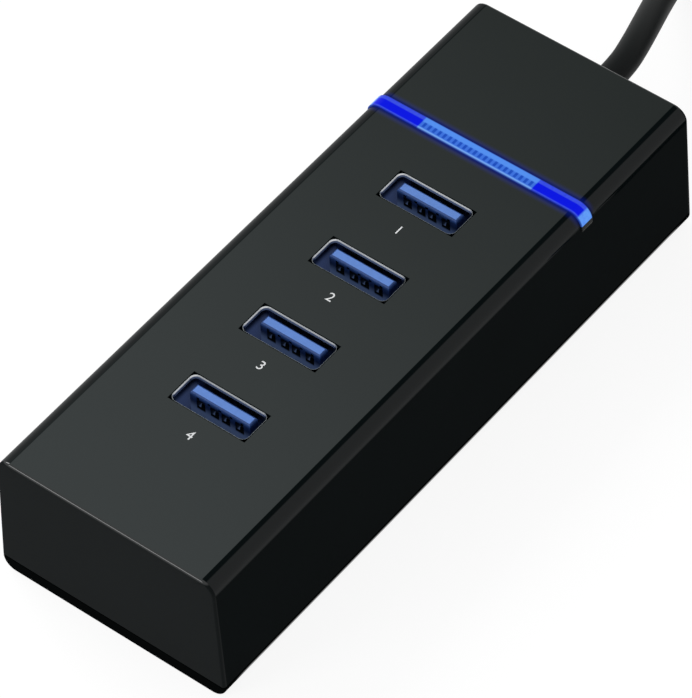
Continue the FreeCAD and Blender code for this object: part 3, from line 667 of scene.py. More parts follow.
class Surface:
    """Points and faces that grow patch by patch; patches that meet are welded in the mesh."""

    def __init__(self) -> None:
        """Starts with no points and no faces."""
        self.points = np.empty((0, 3))
        self.quads = np.empty((0, 4), int)
        self.rings: list[list[int]] = []

    def grid(self, points: np.ndarray, closed: bool = False,
             keep: np.ndarray | None = None) -> "Surface":
        """Adds a grid patch.

        Args:
            points: (rows, columns, 3).
            closed: whether the last column joins the first.
            keep: which quads stay, where the patch has openings.

        Returns:
            The surface itself.
        """
        quads = row_quads(*points.shape[:2], closed)
        quads = quads.reshape(-1, 4) if keep is None else quads[keep]
        self.quads = np.vstack((self.quads, quads + len(self.points)))
        self.points = np.vstack((self.points, points.reshape(-1, 3)))
        return self

    def lid(self, ring: np.ndarray) -> "Surface":
        """Adds one flat face in a ring of points that runs anticlockwise as seen from outside."""
        self.rings.append(list(range(len(self.points), len(self.points) + len(ring))))
        self.points = np.vstack((self.points, ring))
        return self

    def tube(self, rows: np.ndarray) -> "Surface":
        """Adds a grid whose rows are rings, with a lid on each end."""
        return self.grid(rows, closed=True).lid(rows[-1]).lid(rows[0][::-1])

    def join(self, other: "Surface") -> "Surface":
        """Adds a copy of another surface."""
        start = len(self.points)
        self.quads = np.vstack((self.quads, other.quads + start))
        self.rings += [[i + start for i in ring] for ring in other.rings]
        self.points = np.vstack((self.points, other.points))
        return self

    def walled(self, inner: "Surface") -> "Surface":
        """A wall between this skin and an inner one made of the same patches.

        The inner skin is turned over, and wherever the skins end, each loose edge of this one is
        joined to the same edge of the inner one by a quad.
        """
        keys = np.round(self.points / (10 * WELD)).astype(np.int64)
        _, first, alias = np.unique(keys, axis=0, return_index=True, return_inverse=True)
        welded = alias.ravel()[self.quads]
        edges = np.concatenate([welded[:, (i, (i + 1) % 4)] for i in range(4)])
        edges = edges[edges[:, 0] != edges[:, 1]]
        _, place, uses = np.unique(np.sort(edges, axis=1), axis=0, return_index=True,
                                   return_counts=True)
        start, end = first[edges[place[uses == 1]]].T
        shift = len(self.points)
        rim = np.stack((end, start, start + shift, end + shift), axis=1)
        wall = Surface()
        wall.points = np.vstack((self.points, inner.points))
        wall.quads = np.vstack((self.quads, inner.quads[:, ::-1] + shift, rim))
        return wall

    def piece(self, name: str, material: bpy.types.Material, slot: Slot,
              bevel: float = 0.0, level: float = 40.0) -> bpy.types.Object:
        """Makes the mesh, welds it, shades it smooth and lets it ride on the hub.

        Args:
            name: the piece's name.
            material: its finish.
            slot: the record's slot for that finish; not used.
            bevel: width by which its sharp edges are eased.
            level: steepest turn in degrees that counts as smooth.

        Returns:
            The new object, which sits at the origin.
        """
        mesh = bpy.data.meshes.new(name)
        mesh.from_pydata(self.points.tolist(), [], self.quads.tolist() + self.rings)
        shape = bmesh.new()
        shape.from_mesh(mesh)
        bmesh.ops.remove_doubles(shape, verts=shape.verts, dist=WELD)
        bmesh.ops.dissolve_degenerate(shape, dist=WELD, edges=shape.edges)
        shape.to_mesh(mesh)
        shape.free()
        mesh.materials.append(material)
        made = placed(name, mesh)
        sharp = math.radians(level)
        mesh.shade_smooth()
        if bevel:
            ease = made.modifiers.new("eased edges", "BEVEL")
            ease.width, ease.segments = bevel, 3
            ease.limit_method, ease.angle_limit = "ANGLE", sharp
            ease.use_clamp_overlap = True
            flat = made.modifiers.new("flat faces stay flat", "WEIGHTED_NORMAL")
            flat.keep_sharp = True
        else:
            mesh.set_sharp_from_angle(angle=sharp)
        return adopt(made)


def ring_angles(steps: int) -> np.ndarray:
    """Angles of the points round a rounded ring: each quarter turn in the given steps."""
    return (np.arange(4)[:, None] * QUARTER + np.linspace(0, QUARTER, steps)).ravel()


def rounded_ring(width: float, depth: float, radius: float, steps: int = 6) -> np.ndarray:
    """Points (k, 2) anticlockwise round a rectangle about the origin, with round corners."""
    angles = ring_angles(steps)
    signs = np.repeat([(1, 1), (-1, 1), (-1, -1), (1, -1)], steps, axis=0)
    corners = signs * (width / 2 - radius, depth / 2 - radius)
    return corners + radius * np.column_stack((np.cos(angles), np.sin(angles)))


def upright(rings: list[tuple[np.ndarray, float]], centre: tuple[float, float]) -> np.ndarray:
    """Rows of a tube whose rings lie flat: each ring (k, 2) about a centre, at its own height."""
    return np.stack([np.column_stack((ring + centre, np.full(len(ring), z))) for ring, z in rings])


def bar(width: float, depth: float, radius: float, centre: tuple[float, float],
        low: float, high: float, crown: float = 0.0) -> Surface:
    """A closed upright bar with a rounded section, its top edge eased by the radius crown."""
    turn = np.linspace(0, QUARTER, 5) if crown else np.zeros(1)
    rings = [(rounded_ring(width, depth, radius), low)]
    for shrink, rise in zip(crown * (1 - np.cos(turn)), crown * np.sin(turn)):
        eased = rounded_ring(width - 2 * shrink, depth - 2 * shrink,
                             max(radius - shrink, radius * 0.3))
        rings.append((eased, high - crown + rise))
    return Surface().tube(upright(rings, centre))


def lengthwise(rings: list[tuple[np.ndarray, float]], centre: tuple[float, float]) -> np.ndarray:
    """Rows of a tube along Y: each ring (k, 2) about a centre (X, Z) stands at its own Y."""
    x, z = centre
    return np.stack([np.column_stack((x + ring[:, 0], np.full(len(ring), y), z - ring[:, 1]))
                     for ring, y in rings])


def turned(profile: np.ndarray, centre: tuple[float, float], steps: int = 48) -> Surface:
    """A profile (k, 2) of radius and Y, spun about the axis through centre (X, Z) along Y.

    Its point at angle a is centre + radius * (sin a, cos a), so with Y growing along the profile
    the surface looks outwards.
    """
    angles = np.linspace(0, 2 * math.pi, steps, endpoint=False)
    radius, y = profile[:, :1], profile[:, 1:]
    x = centre[0] + radius * np.sin(angles)
    z = centre[1] + radius * np.cos(angles)
    return Surface().grid(np.stack((x, np.broadcast_to(y, x.shape), z), axis=-1), closed=True)


# ---------------------------------------------------------------- housing


@dataclass(frozen=True)
class Envelope:
    """The hub's drafted outside, from which the shell, cover and light pipe take their skins."""

    reach_x: float  # half width at the parting line
    reach_y: float  # half length at the parting line
    parting: float
    height: float
    side_lean: float = 1.0 / 24.4  # how far a side leans in for each unit of height
    end_lean: float = 0.25 / 24.4
    top_round: float = 2.4 * MM
    end_round: float = 0.4 * MM
    arc_steps: int = 13
    end_steps: int = 5

    def wall(self, z: Any) -> Any:
        """Half the width at height z."""
        return self.reach_x - self.side_lean * (z - self.parting)

    def end(self, z: Any) -> Any:
        """Half the length at height z."""
        return self.reach_y - self.end_lean * (z - self.parting)

    def arch(self, foot: float, shoulder: float, opening: Span, inset: float,
             drop: float, radius: float) -> np.ndarray:
        """Section of wall, round edge and roof from left foot to right foot, (k, 2) of X and Z.

        Two points stand on the roof at the X of an opening's sides.

        The wall is the leaning line moved in by inset, the roof is the flat at height - drop, and
        the round edge is the arc of the given radius that is tangent to both:
        centre + radius * (cos a, sin a), with a from the wall's own tilt to a quarter turn.
        """
        centre_z = self.height - drop - radius
        centre_x = self.wall(centre_z) - inset - radius * math.hypot(1, self.side_lean)
        turn = np.linspace(math.atan(self.side_lean), QUARTER, self.arc_steps)
        arc = np.column_stack((centre_x + radius * np.cos(turn), centre_z + radius * np.sin(turn)))
        heights = np.array([foot, shoulder])
        wall = np.column_stack((self.wall(heights) - inset, heights))
        half = np.vstack((wall, arc))
        roof = [(x, self.height - drop) for x in opening]
        return np.vstack((half * (-1, 1), roof, half[::-1]))

    def tray(self, low: float, foot: float, inset: float, radius: float) -> np.ndarray:
        """Section of the cover from its right rim under the base to its left, (k, 2) of X and Z.

        The round lower edge is the arc of the given radius tangent to the base at height low.
        """
        centre_z = low + radius
        centre_x = self.wall(centre_z) - inset - radius
        turn = np.linspace(0, -QUARTER, self.arc_steps)
        arc = np.column_stack((centre_x + radius * np.cos(turn), centre_z + radius * np.sin(turn)))
        half = np.vstack(((self.wall(foot) - inset, foot), arc, (centre_x * 0.5, low)))
        return np.vstack((half, half[::-1] * (-1, 1)))

    def swept(self, section: Callable[[float], np.ndarray], inset: float, radius: float,
              stations: list[float]) -> np.ndarray:
        """A section carried along Y between the two ends, (rows, columns, 3).

        Near an end it shrinks by radius * (1 - cos a) while it moves out by radius * sin a.

        Args:
            section: gives the section (k, 2) shrunk by a length.
            inset: how far the end faces stand in from the outside.
            radius: of the round edge at each end.
            stations: Y of the rows between the ends.

        Returns:
            The rows, from the front end to the back one.
        """
        rows = []
        for angle in np.linspace(QUARTER, 0, self.end_steps):
            xz = section(radius * (1 - math.cos(angle)))
            y = -(self.end(xz[:, 1]) - inset - radius + radius * math.sin(angle))
            rows.append(np.column_stack((xz[:, 0], y, xz[:, 1])))
        plain = section(0.0)
        for y in stations:
            rows.append(np.column_stack((plain[:, 0], np.full(len(plain), y), plain[:, 1])))
        rows += [row * (1, -1, 1) for row in rows[:self.end_steps][::-1]]
        return np.stack(rows)

    def end_cap(self, edge: np.ndarray, centre_z: float, hole: float, side: int) -> np.ndarray:
        """The end face from its outline in to a round hole, or to a point if the hole is nothing.

        Each outline point is joined to the hole's point at the same angle about (0, centre_z).
        Rows run outwards at the front end and inwards at the back, so that both look out.
        """
        closing = np.linspace(edge[-1], edge[0], 10)[1:-1]
        outline = np.vstack((edge, closing))
        angles = np.arctan2(outline[:, 0], outline[:, 2] - centre_z)
        inner_x, inner_z = hole * np.sin(angles), centre_z + hole * np.cos(angles)
        slope = (outline[:, 1].max() - outline[:, 1].min()) / max(np.ptp(outline[:, 2]), WELD)
        inner_y = outline[:, 1] + side * slope * (outline[:, 2] - inner_z)
        inner = np.column_stack((inner_x, inner_y, inner_z))
        rows = np.stack([outline + share * (inner - outline) for share in (0.0, 0.12, 1.0)])
        return rows[::-1] if side < 0 else rows


@dataclass(frozen=True)
class Housing:
    """Five-sided glossy shell, its lip at the parting line, and the flat cover below it."""

    envelope: Envelope
    ports: list[float]  # Y of each port's middle
    pipe_span: Span  # Y of the light pipe's two edges
    pipe_foot: float
    cord_z: float
    port_x: float
    cutout: tuple[float, float] = (13.9 * MM, 6.0 * MM)
    wall: float = 1.8 * MM
    roof: float = 2.0 * MM
    floor: float = 1.8 * MM
    inner_round: float = 0.9 * MM
    neck: float = 3.35 * MM
    seam: float = 0.25 * MM  # how far the lip stands in, and how high it is
    eased: float = 0.13 * MM  # width of the shell's eased edges
    cover_eased: float = 0.08 * MM
    cover_round: Span = mm(0.4, 0.2)  # inner radii of the cover's lower edge and ends
    cover_air: float = 0.01 * MM  # between its lower edge's arc and the parting line
    cover_rows: Span = (-0.4, 0.4)  # Y of its middle rows, in half lengths

    @property
    def seam_top(self) -> float:
        """Height of the lip's upper edge."""
        return self.envelope.parting + self.seam

    def stations(self) -> list[float]:
        """Y of every row between the ends, in order: both edges of each opening."""
        half = self.cutout[1] / 2
        edges = [y + side * half for y in self.ports for side in (-1, 1)]
        return sorted(edges + list(self.pipe_span))

    def shell_skin(self, inset: float, drop: float, radius: float, end_round: float) -> Surface:
        """One skin of the shell with its port openings, the slot for the pipe and both ends."""
        e = self.envelope
        opening = (self.port_x - self.cutout[0] / 2, self.port_x + self.cutout[0] / 2)

        def section(shrink: float) -> np.ndarray:
            """The arch, shrunk evenly."""
            return e.arch(self.seam_top, self.pipe_foot, opening,
                          inset + shrink, drop + shrink, radius - shrink)

        rows = e.swept(section, inset, end_round, self.stations())
        y = (rows[:-1, 0, 1] + rows[1:, 0, 1]) / 2
        columns = rows.shape[1] - 1
        keep = np.ones((len(y), columns), bool)
        in_port = np.any([abs(y - port) < self.cutout[1] / 2 for port in self.ports], axis=0)
        keep[in_port, columns // 2] = False
        in_slot = (y > self.pipe_span[0]) & (y < self.pipe_span[1])
        keep[np.ix_(in_slot, range(1, columns - 1))] = False
        return self.capped(Surface().grid(rows, keep=keep), rows, self.cord_z, self.neck)

    def capped(self, skin: Surface, rows: np.ndarray, centre_z: float, hole: float) -> Surface:
        """Adds both end faces to a swept skin; the back one may have a round hole."""
        skin.grid(self.envelope.end_cap(rows[0], centre_z, 0.0, -1), closed=True)
        return skin.grid(self.envelope.end_cap(rows[-1], centre_z, hole, 1), closed=True)

    def lip(self) -> Surface:
        """The recessed band at the parting line: a square section carried round the hub."""
        e = self.envelope
        low, high = e.parting, self.seam_top
        rings = []
        for inset, z in ((self.seam, low), (self.seam, high), (self.wall, high), (self.wall, low),
                         (self.seam, low)):
            size = [2 * (half - inset) for half in (e.wall(z), e.end(z))]
            rings.append((rounded_ring(*size, e.end_round), z))
        return Surface().grid(upright(rings, (0.0, 0.0)), closed=True)

    def shell(self, material: bpy.types.Material) -> bpy.types.Object:
        """Makes the glossy shell."""
        e = self.envelope
        outer = self.shell_skin(0.0, 0.0, e.top_round, e.end_round)
        inner = self.shell_skin(self.wall, self.roof, self.inner_round, 0.5 * e.end_round)
        whole = outer.walled(inner).join(self.lip())
        made = whole.piece("hub_shell", material, Slot.HOUSING, self.eased)
        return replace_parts(made, "upper_shell")

    def cover_skin(self, low: float, inset: float, radius: float, end_round: float) -> Surface:
        """One skin of the bottom cover with both of its end faces."""
        e = self.envelope

        def section(shrink: float) -> np.ndarray:
            """The tray, shrunk evenly."""
            return e.tray(low + shrink, e.parting, inset + shrink, radius - shrink)

        rows = e.swept(section, inset, end_round, [share * e.reach_y for share in self.cover_rows])
        return self.capped(Surface().grid(rows), rows, (low + e.parting) / 2, 0.0)

    def cover(self, material: bpy.types.Material) -> bpy.types.Object:
        """Makes the bottom cover."""
        e = self.envelope
        outer = self.cover_skin(0.0, 0.0, e.parting - self.cover_air, e.end_round)
        inner = self.cover_skin(self.floor, self.wall, *self.cover_round)
        made = outer.walled(inner).piece("hub_cover", material, Slot.BASE, self.cover_eased)
        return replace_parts(made, "bottom_cover")


@dataclass(frozen=True)
class LightPipe:
    """Clear strip that stands a little proud of the roof and turns down over both walls."""

    envelope: Envelope
    span: Span  # Y of its two edges
    foot: float  # height at which the strip ends
    proud: float  # of the roof
    board_top: float
    led_x: float
    depth: float = 1.9 * MM
    round: float = 0.18 * MM  # of its long top edges
    inner_round: float = 0.6 * MM
    eased: float = 0.1 * MM
    shoulder: float = 0.2 * MM  # height of the lowest row above the foot
    foot_size: Point = mm(32.0, 5.0, 1.1)
    foot_round: Span = mm(0.3, 0.05)  # of its corners and of its top edge
    leg_size: Point = mm(3.0, 2.2, 0.2)  # width, depth and the corners' radius
    leg_start: float = 1.5 * MM  # the legs begin this far above the board, over the lamps

    @property
    def middle(self) -> float:
        """Y of the strip's middle line."""
        return (self.span[0] + self.span[1]) / 2

    def skin(self, rise: float, radius: float, edge: float) -> Surface:
        """The envelope's arch moved out by rise, carried across the strip's width.

        Towards each long edge it sinks by edge * (1 - cos a) while Y moves out by edge * sin a.
        """
        e = self.envelope
        half = (self.span[1] - self.span[0]) / 2
        rows = []
        for angle in np.linspace(-QUARTER, QUARTER, 11):
            sink = edge * (1 - math.cos(angle))
            xz = e.arch(self.foot, self.foot + self.shoulder, mm(-0.01, 0.01), sink - rise,
                        sink - rise, radius)
            y = self.middle + math.copysign(half - edge, angle) + edge * math.sin(angle)
            rows.append(np.column_stack((xz[:, 0], np.full(len(xz), y), xz[:, 1])))
        return Surface().grid(np.stack(rows))

    def build(self, material: bpy.types.Material) -> bpy.types.Object:
        """Makes the strip with its foot and two legs."""
        outer = self.skin(self.proud, self.envelope.top_round, self.round)
        inner = self.skin(-self.depth, self.inner_round, 0.0)
        strip = outer.walled(inner)
        top = self.envelope.height - self.depth - self.eased
        width, depth, thick = self.foot_size
        corner, crown = self.foot_round
        strip.join(bar(width, depth, corner, (0.0, self.middle), top - thick, top, crown))
        for side in (-1, 1):
            strip.join(bar(*self.leg_size, (side * self.led_x, self.middle),
                           self.board_top + self.leg_start, top - thick))
        made = strip.piece("blue_light_pipe", material, Slot.PIPE, self.eased, 50.0)
        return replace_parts(made, "light_pipe")


# ---------------------------------------------------------------- cord


@dataclass(frozen=True)
class Cord:
    """The captive cord: a free lead, a neat tied coil of what isn't in use, and a tail."""

    diameter: float = 4.6 * MM
    length: float = 0.62
    turns: float = 3.5
    per_turn: int = 20
    outer: float = 26.0 * MM  # radius of the outer turns
    gap: float = 4.8 * MM  # between neighbouring turns
    turns_in: tuple[Span, Span] = ((0.8, 1.0), (2.5, 2.7))  # where the turns go in by one gap,
    turns_up: Span = (1.6, 1.8)  # and up by one, counted in turns
    tie_turn: float = 0.25  # where in each turn the tie passes under it
    tie_reach: Span = (0.13, 0.07)  # how far from there a turn is lifted, and over what stretch
    tie_thick: float = 0.9 * MM
    stub: float = 15.7 * MM  # straight run into and out of the coil

    LEAD = ((0.0, 0.061, 0.0128), (0.0, 0.0662, 0.0128), (-0.00135, 0.0716, 0.0122),
            (-0.00345, 0.0774, 0.0105), (-0.00595, 0.0836, 0.008), (-0.0083, 0.0899, 0.0055),
            (-0.01015, 0.096, 0.0034), (-0.011, 0.102, 0.0023), (-0.011, 0.108, 0.0023))
    TAIL = ((0.041, 0.108, 0.0071), (0.041, 0.0999, 0.0071), (0.041, 0.0912, 0.0043),
            (0.041, 0.0831, 0.0043))

    def centre(self) -> tuple[float, float]:
        """Middle of the coil: the lead's straight run is tangent to its outer turn."""
        return self.LEAD[-1][0] + self.outer, self.LEAD[-1][1] + self.stub

    def winding(self) -> np.ndarray:
        """Control points of the coil's turns, (k, 3).

        With t the turns wound so far, the angle is half a turn less t turns, clockwise from above.
        The radius is the outer one, then one gap less while t goes from 0.8 to 2.7, with a smooth
        change over a fifth of a turn. The height is half a diameter, and one gap more from 1.8 on.
        Where the tie passes under the turns, at a quarter turn, they rise over its thickness.
        Control points stand out by 1 / cos(half a step), so that the curve has the stated radius.
        """
        t = np.linspace(0, self.turns, round(self.turns * self.per_turn) + 1)
        angle = math.pi - 2 * math.pi * t

        def ease(low: float, high: float) -> np.ndarray:
            """Rises smoothly from 0 to 1 between two turns."""
            s = np.clip((t - low) / (high - low), 0, 1)
            return s * s * (3 - 2 * s)

        start, end = self.turns_in
        radius = self.outer - self.gap * (ease(*start) - ease(*end))
        height = self.diameter / 2 + self.gap * ease(*self.turns_up)
        off_tie = abs((t - self.tie_turn + 0.5) % 1.0 - 0.5)
        lift = np.clip((self.tie_reach[0] - off_tie) / self.tie_reach[1], 0, 1)
        height = height + self.tie_thick * lift * lift * (3 - 2 * lift)
        radius = radius / math.cos(math.pi / self.per_turn)
        x, y = self.centre()
        return np.column_stack((x + radius * np.cos(angle), y + radius * np.sin(angle), height))

    def build(self, material: bpy.types.Material) -> bpy.types.Object:
        """Makes the cord as one open NURBS curve through the lead, the turns and the tail."""
        route = np.vstack((self.LEAD, self.winding(), self.TAIL))
        curve = bpy.data.curves.new("cord", "CURVE")
        curve.dimensions = "3D"
        spline = curve.splines.new("NURBS")
        spline.points.add(len(route) - 1)
        spline.points.foreach_set("co", np.column_stack((route, np.ones(len(route)))).ravel())
        spline.order_u = 3
        spline.use_endpoint_u = True
        spline.resolution_u = 10
        curve.bevel_depth = self.diameter / 2
        curve.bevel_resolution = 8
        curve.use_fill_caps = True
        curve.materials.append(material)
        made = adopt(placed("cord", curve))
        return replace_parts(made, "cord_lead", "cord_coil", "cord_tail")


@dataclass(frozen=True)
class StrainRelief:
    """Soft grommet in the back wall: a collar each side of it and a ribbed taper on the cord."""

    cord_z: float
    inner_y: float  # where it begins inside the hub
    tip_y: float
    wall_inner: float  # Y of the back wall's two faces at the cord
    wall_outer: float
    bore: float = 2.35 * MM
    retainer: float = 4.6 * MM
    neck: float = 3.3 * MM
    flange: float = 4.1 * MM
    flange_thick: float = 0.8 * MM
    taper: Span = mm(3.45, 2.78)
    ribs: int = 3
    rib_depth: float = 0.22 * MM
    sleeve_gap: float = 0.35 * MM  # from the flange to the taper
    tip_eased: float = 0.2 * MM
    flange_eased: float = 0.1 * MM  # of the edge towards the wall
    eased: float = 0.25 * MM
    air: float = 0.04 * MM  # between the wall and the collar on each side of it

    def sleeve(self) -> np.ndarray:
        """Radius and Y along a straight taper less rib_depth * sin^8(pi * ribs * share)."""
        share = np.linspace(0, 1, 49)
        start = self.wall_outer + self.flange_thick + self.sleeve_gap
        radius = self.taper[0] + (self.taper[1] - self.taper[0]) * share
        radius = radius - self.rib_depth * np.sin(math.pi * self.ribs * share) ** 8
        return np.column_stack((radius, start + (self.tip_y - self.tip_eased - start) * share))

    def build(self, material: bpy.types.Material) -> bpy.types.Object:
        """Makes the grommet by turning its closed profile about the cord."""
        wall_y, flange_y = self.wall_inner - self.air, self.wall_outer + self.air
        head = [(self.bore, self.inner_y), (self.retainer - self.eased, self.inner_y),
                (self.retainer, self.inner_y + self.eased), (self.retainer, wall_y),
                (self.neck, wall_y), (self.neck, flange_y),
                (self.flange - self.flange_eased, flange_y),
                (self.flange, flange_y + self.flange_eased),
                (self.flange, flange_y + self.flange_thick - self.eased),
                (self.flange - self.eased, flange_y + self.flange_thick)]
        end = [(self.taper[1] - self.tip_eased, self.tip_y), (self.bore, self.tip_y),
               (self.bore, self.inner_y)]
        profile = np.vstack((head, self.sleeve(), end))
        made = turned(profile, (0.0, self.cord_z)).piece("strain_relief_boot", material, Slot.GRIP)
        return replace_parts(made, "strain_relief")


@dataclass(frozen=True)
class Tie:
    """Hook-and-loop strap round the coil's turns, with its free end lying on top."""

    middle_x: float
    low: Span  # Y and Z of the strap's outside, lowest and highest
    high: Span
    width: float = 7.0 * MM
    thick: float = 0.9 * MM
    corner: float = 2.6 * MM
    edge: float = 0.38  # radius of its edges, in thicknesses
    lap: float = 7.5 * MM  # length of the free end
    lap_rise: Span = (0.45, 0.16)  # of its middle line: at the start, and more to its tip
    lap_sink: float = 0.04 * MM
    corner_steps: int = 9
    lap_steps: int = 15

    def strap(self, path: np.ndarray, outward: np.ndarray, closed: bool) -> Surface:
        """The strap's rounded section carried along a path (k, 2) in Y and Z.

        With the path's unit normals outward, a section point (w, t) stands at X = middle + w and
        path + outward * t.
        """
        section = rounded_ring(self.width, self.thick, self.edge * self.thick, 4)
        x = np.broadcast_to(self.middle_x + section[:, 0], (len(path), len(section)))
        yz = path[:, None] + outward[:, None] * section[None, :, 1:]
        rows = np.concatenate((x[..., None], yz), axis=-1)
        if closed:
            return Surface().grid(np.concatenate((rows, rows[:1])), closed=True)
        return Surface().tube(rows)

    def build(self, material: bpy.types.Material) -> bpy.types.Object:
        """Makes the loop and its free end."""
        size = [high - low - self.thick for low, high in zip(self.low, self.high)]
        centre = [(high + low) / 2 for low, high in zip(self.low, self.high)]
        loop = rounded_ring(*size, self.corner, self.corner_steps)[::-1]
        angles = ring_angles(self.corner_steps)[::-1]
        outward = np.column_stack((np.cos(angles), np.sin(angles)))
        strap = self.strap(loop + centre, outward, True)
        start = centre[0] + size[0] / 2 - self.corner
        y = np.linspace(start, start - self.lap, self.lap_steps)
        share = np.linspace(0, 1, self.lap_steps)
        rise = self.lap_rise[0] + self.lap_rise[1] * share ** 3
        z = self.high[1] + self.thick * rise - self.lap_sink
        above = np.tile((0.0, 1.0), (self.lap_steps, 1))
        strap.join(self.strap(np.column_stack((y, z)), above, False))
        made = strap.piece("woven_strap", material, Slot.TIE, level=50.0)
        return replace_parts(made, "cord_tie")


@dataclass(frozen=True)
class PlugGrip:
    """Overmoulded grip of the plug, with finger ridges on its broad faces and a ribbed tail."""

    axis: Span  # X and Z of the plug's axis
    front: float  # Y of the face that the metal mouth stands out of
    tail: float  # Y of the tail's tip
    size: Span
    mouth: Span = mm(12.0, 4.5)
    buried: float = 6.0 * MM
    tail_length: float = 7.0 * MM
    tail_radii: Span = mm(3.7, 2.8)
    mouth_round: float = 0.45 * MM
    eased: tuple[Span, Span] = (mm(0.7, 0.5), mm(3.0, 2.2))  # length and depth, front and rear
    ridged: Span = (0.2, 0.52)  # where the ridges start and how far they go, in grip lengths
    tail_gap: float = 0.05 * MM
    tail_ribs: int = 4
    tail_rib_depth: float = 0.3 * MM
    round: float = 2.5 * MM
    ridges: int = 5
    ridge_depth: float = 0.32 * MM

    def body(self) -> list[tuple[np.ndarray, float]]:
        """Rings of the grip from its front face to its rear one.

        Half the height falls by ridge_depth * sin^2(pi * ridges * share) where share runs from 0 to
        1 over the middle of the grip; the ends are eased by a quarter of an ellipse.
        """
        rear = self.tail - self.tail_length
        length = rear - self.front
        y = np.linspace(self.front, rear, 61)
        start, reach = (share * length for share in self.ridged)
        share = np.clip((y - self.front - start) / reach, 0, 1)
        groove = self.ridge_depth * np.sin(math.pi * self.ridges * share) ** 2
        (front_length, front_depth), (rear_length, rear_depth) = self.eased
        from_end = np.minimum((y - self.front) / front_length, (rear - y) / rear_length)
        lost = 1 - np.sqrt(1 - (1 - np.clip(from_end, 0, 1)) ** 2)
        pinch = np.where(y - self.front < 2 * MM, front_depth, rear_depth) * lost
        rings = []
        for at, ridge, slim in zip(y, groove, pinch):
            width, height = self.size[0] - 2 * slim, self.size[1] - 2 * slim - 2 * ridge
            rings.append((rounded_ring(width, height, min(self.round, 0.49 * height)), at))
        return rings

    def build(self, material: bpy.types.Material) -> bpy.types.Object:
        """Makes the grip as one skin from the bottom of its pocket to the tail's tip."""
        pocket = rounded_ring(*self.mouth, self.mouth_round)
        rings = [(pocket, self.front + self.buried), (pocket, self.front)] + self.body()
        share = np.linspace(0, 1, 41)
        start = self.tail - self.tail_length + self.tail_gap
        radius = self.tail_radii[0] + (self.tail_radii[1] - self.tail_radii[0]) * share
        radius = radius - self.tail_rib_depth * np.sin(math.pi * self.tail_ribs * share) ** 8
        rings += [(rounded_ring(2 * r, 2 * r, r), start + (self.tail - start) * part)
                  for r, part in zip(radius, share)]
        grip = Surface().tube(lengthwise(rings, self.axis))
        made = grip.piece("plug_overmould", material, Slot.GRIP, level=34.0)
        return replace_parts(made, "plug_grip")


@dataclass(frozen=True)
class Numerals:
    """Plain port numbers printed on the roof beside the ports."""

    roof: float
    size: float = 2.35 * MM
    off: float = 6.5 * MM  # from a port's middle to its number's middle
    thick: float = 0.012 * MM

    def build(self, number: int, x: float, y: float,
              material: bpy.types.Material) -> bpy.types.Object:
        """Makes one number beside the port at (x, y): a text made a mesh, centred, then placed."""
        text = bpy.data.curves.new(f"number_{number}", "FONT")
        text.body = str(number)
        text.size, text.extrude, text.resolution_u = self.size, self.thick, 4
        holder = bpy.data.objects.new(text.name, text)
        mesh = bpy.data.meshes.new_from_object(holder)
        bpy.data.objects.remove(holder)
        bpy.data.curves.remove(text)
        points = np.empty(len(mesh.vertices) * 3)
        mesh.vertices.foreach_get("co", points)
        points = points.reshape(-1, 3)
        middle = (points.max(0) + points.min(0)) / 2
        points += np.array((x, y - self.off, self.roof)) - middle
        mesh.vertices.foreach_set("co", points.ravel())
        mesh.materials.clear()
        mesh.materials.append(material)
        return adopt(placed(f"port_number_{number}", mesh))


# ---------------------------------------------------------------- stage


@dataclass(frozen=True)
class Viewpoint:
    """Where the hub is looked at from: a long lens, high over its front left corner."""

    azimuth: float = 39.969
    elevation: float = 49.346
    roll: float = -2.627
    target: Point = (-5.917 * MM, 5.331 * MM, 0.0)
    distance: float = 812.551 * MM
    lens: float = 283.26
    sensor: float = 36.0

    def build(self) -> None:
        """Makes the camera and gives it to the scene.

        The camera looks back along (sin a cos e, -cos a cos e, sin e) from the target and is then
        rolled about its own axis.
        """
        a, e, r = (math.radians(v) for v in (self.azimuth, self.elevation, self.roll))
        back = np.array((math.sin(a) * math.cos(e), -math.cos(a) * math.cos(e), math.sin(e)))
        right = np.cross(-back, (0.0, 0.0, 1.0))
        right /= np.linalg.norm(right)
        up = np.cross(back, right)
        across = right * math.cos(r) + up * math.sin(r)
        over = up * math.cos(r) - right * math.sin(r)
        camera = bpy.data.cameras.new("viewpoint")
        camera.lens, camera.sensor_width = self.lens, self.sensor
        camera.clip_start, camera.clip_end = 0.01, 20.0
        made = placed("viewpoint", camera)
        matrix = np.eye(4)
        matrix[:3, :3] = np.column_stack((across, over, back))
        matrix[:3, 3] = np.array(self.target) + self.distance * back
        made.matrix_world = Matrix(matrix.tolist())
        bpy.context.scene.camera = made


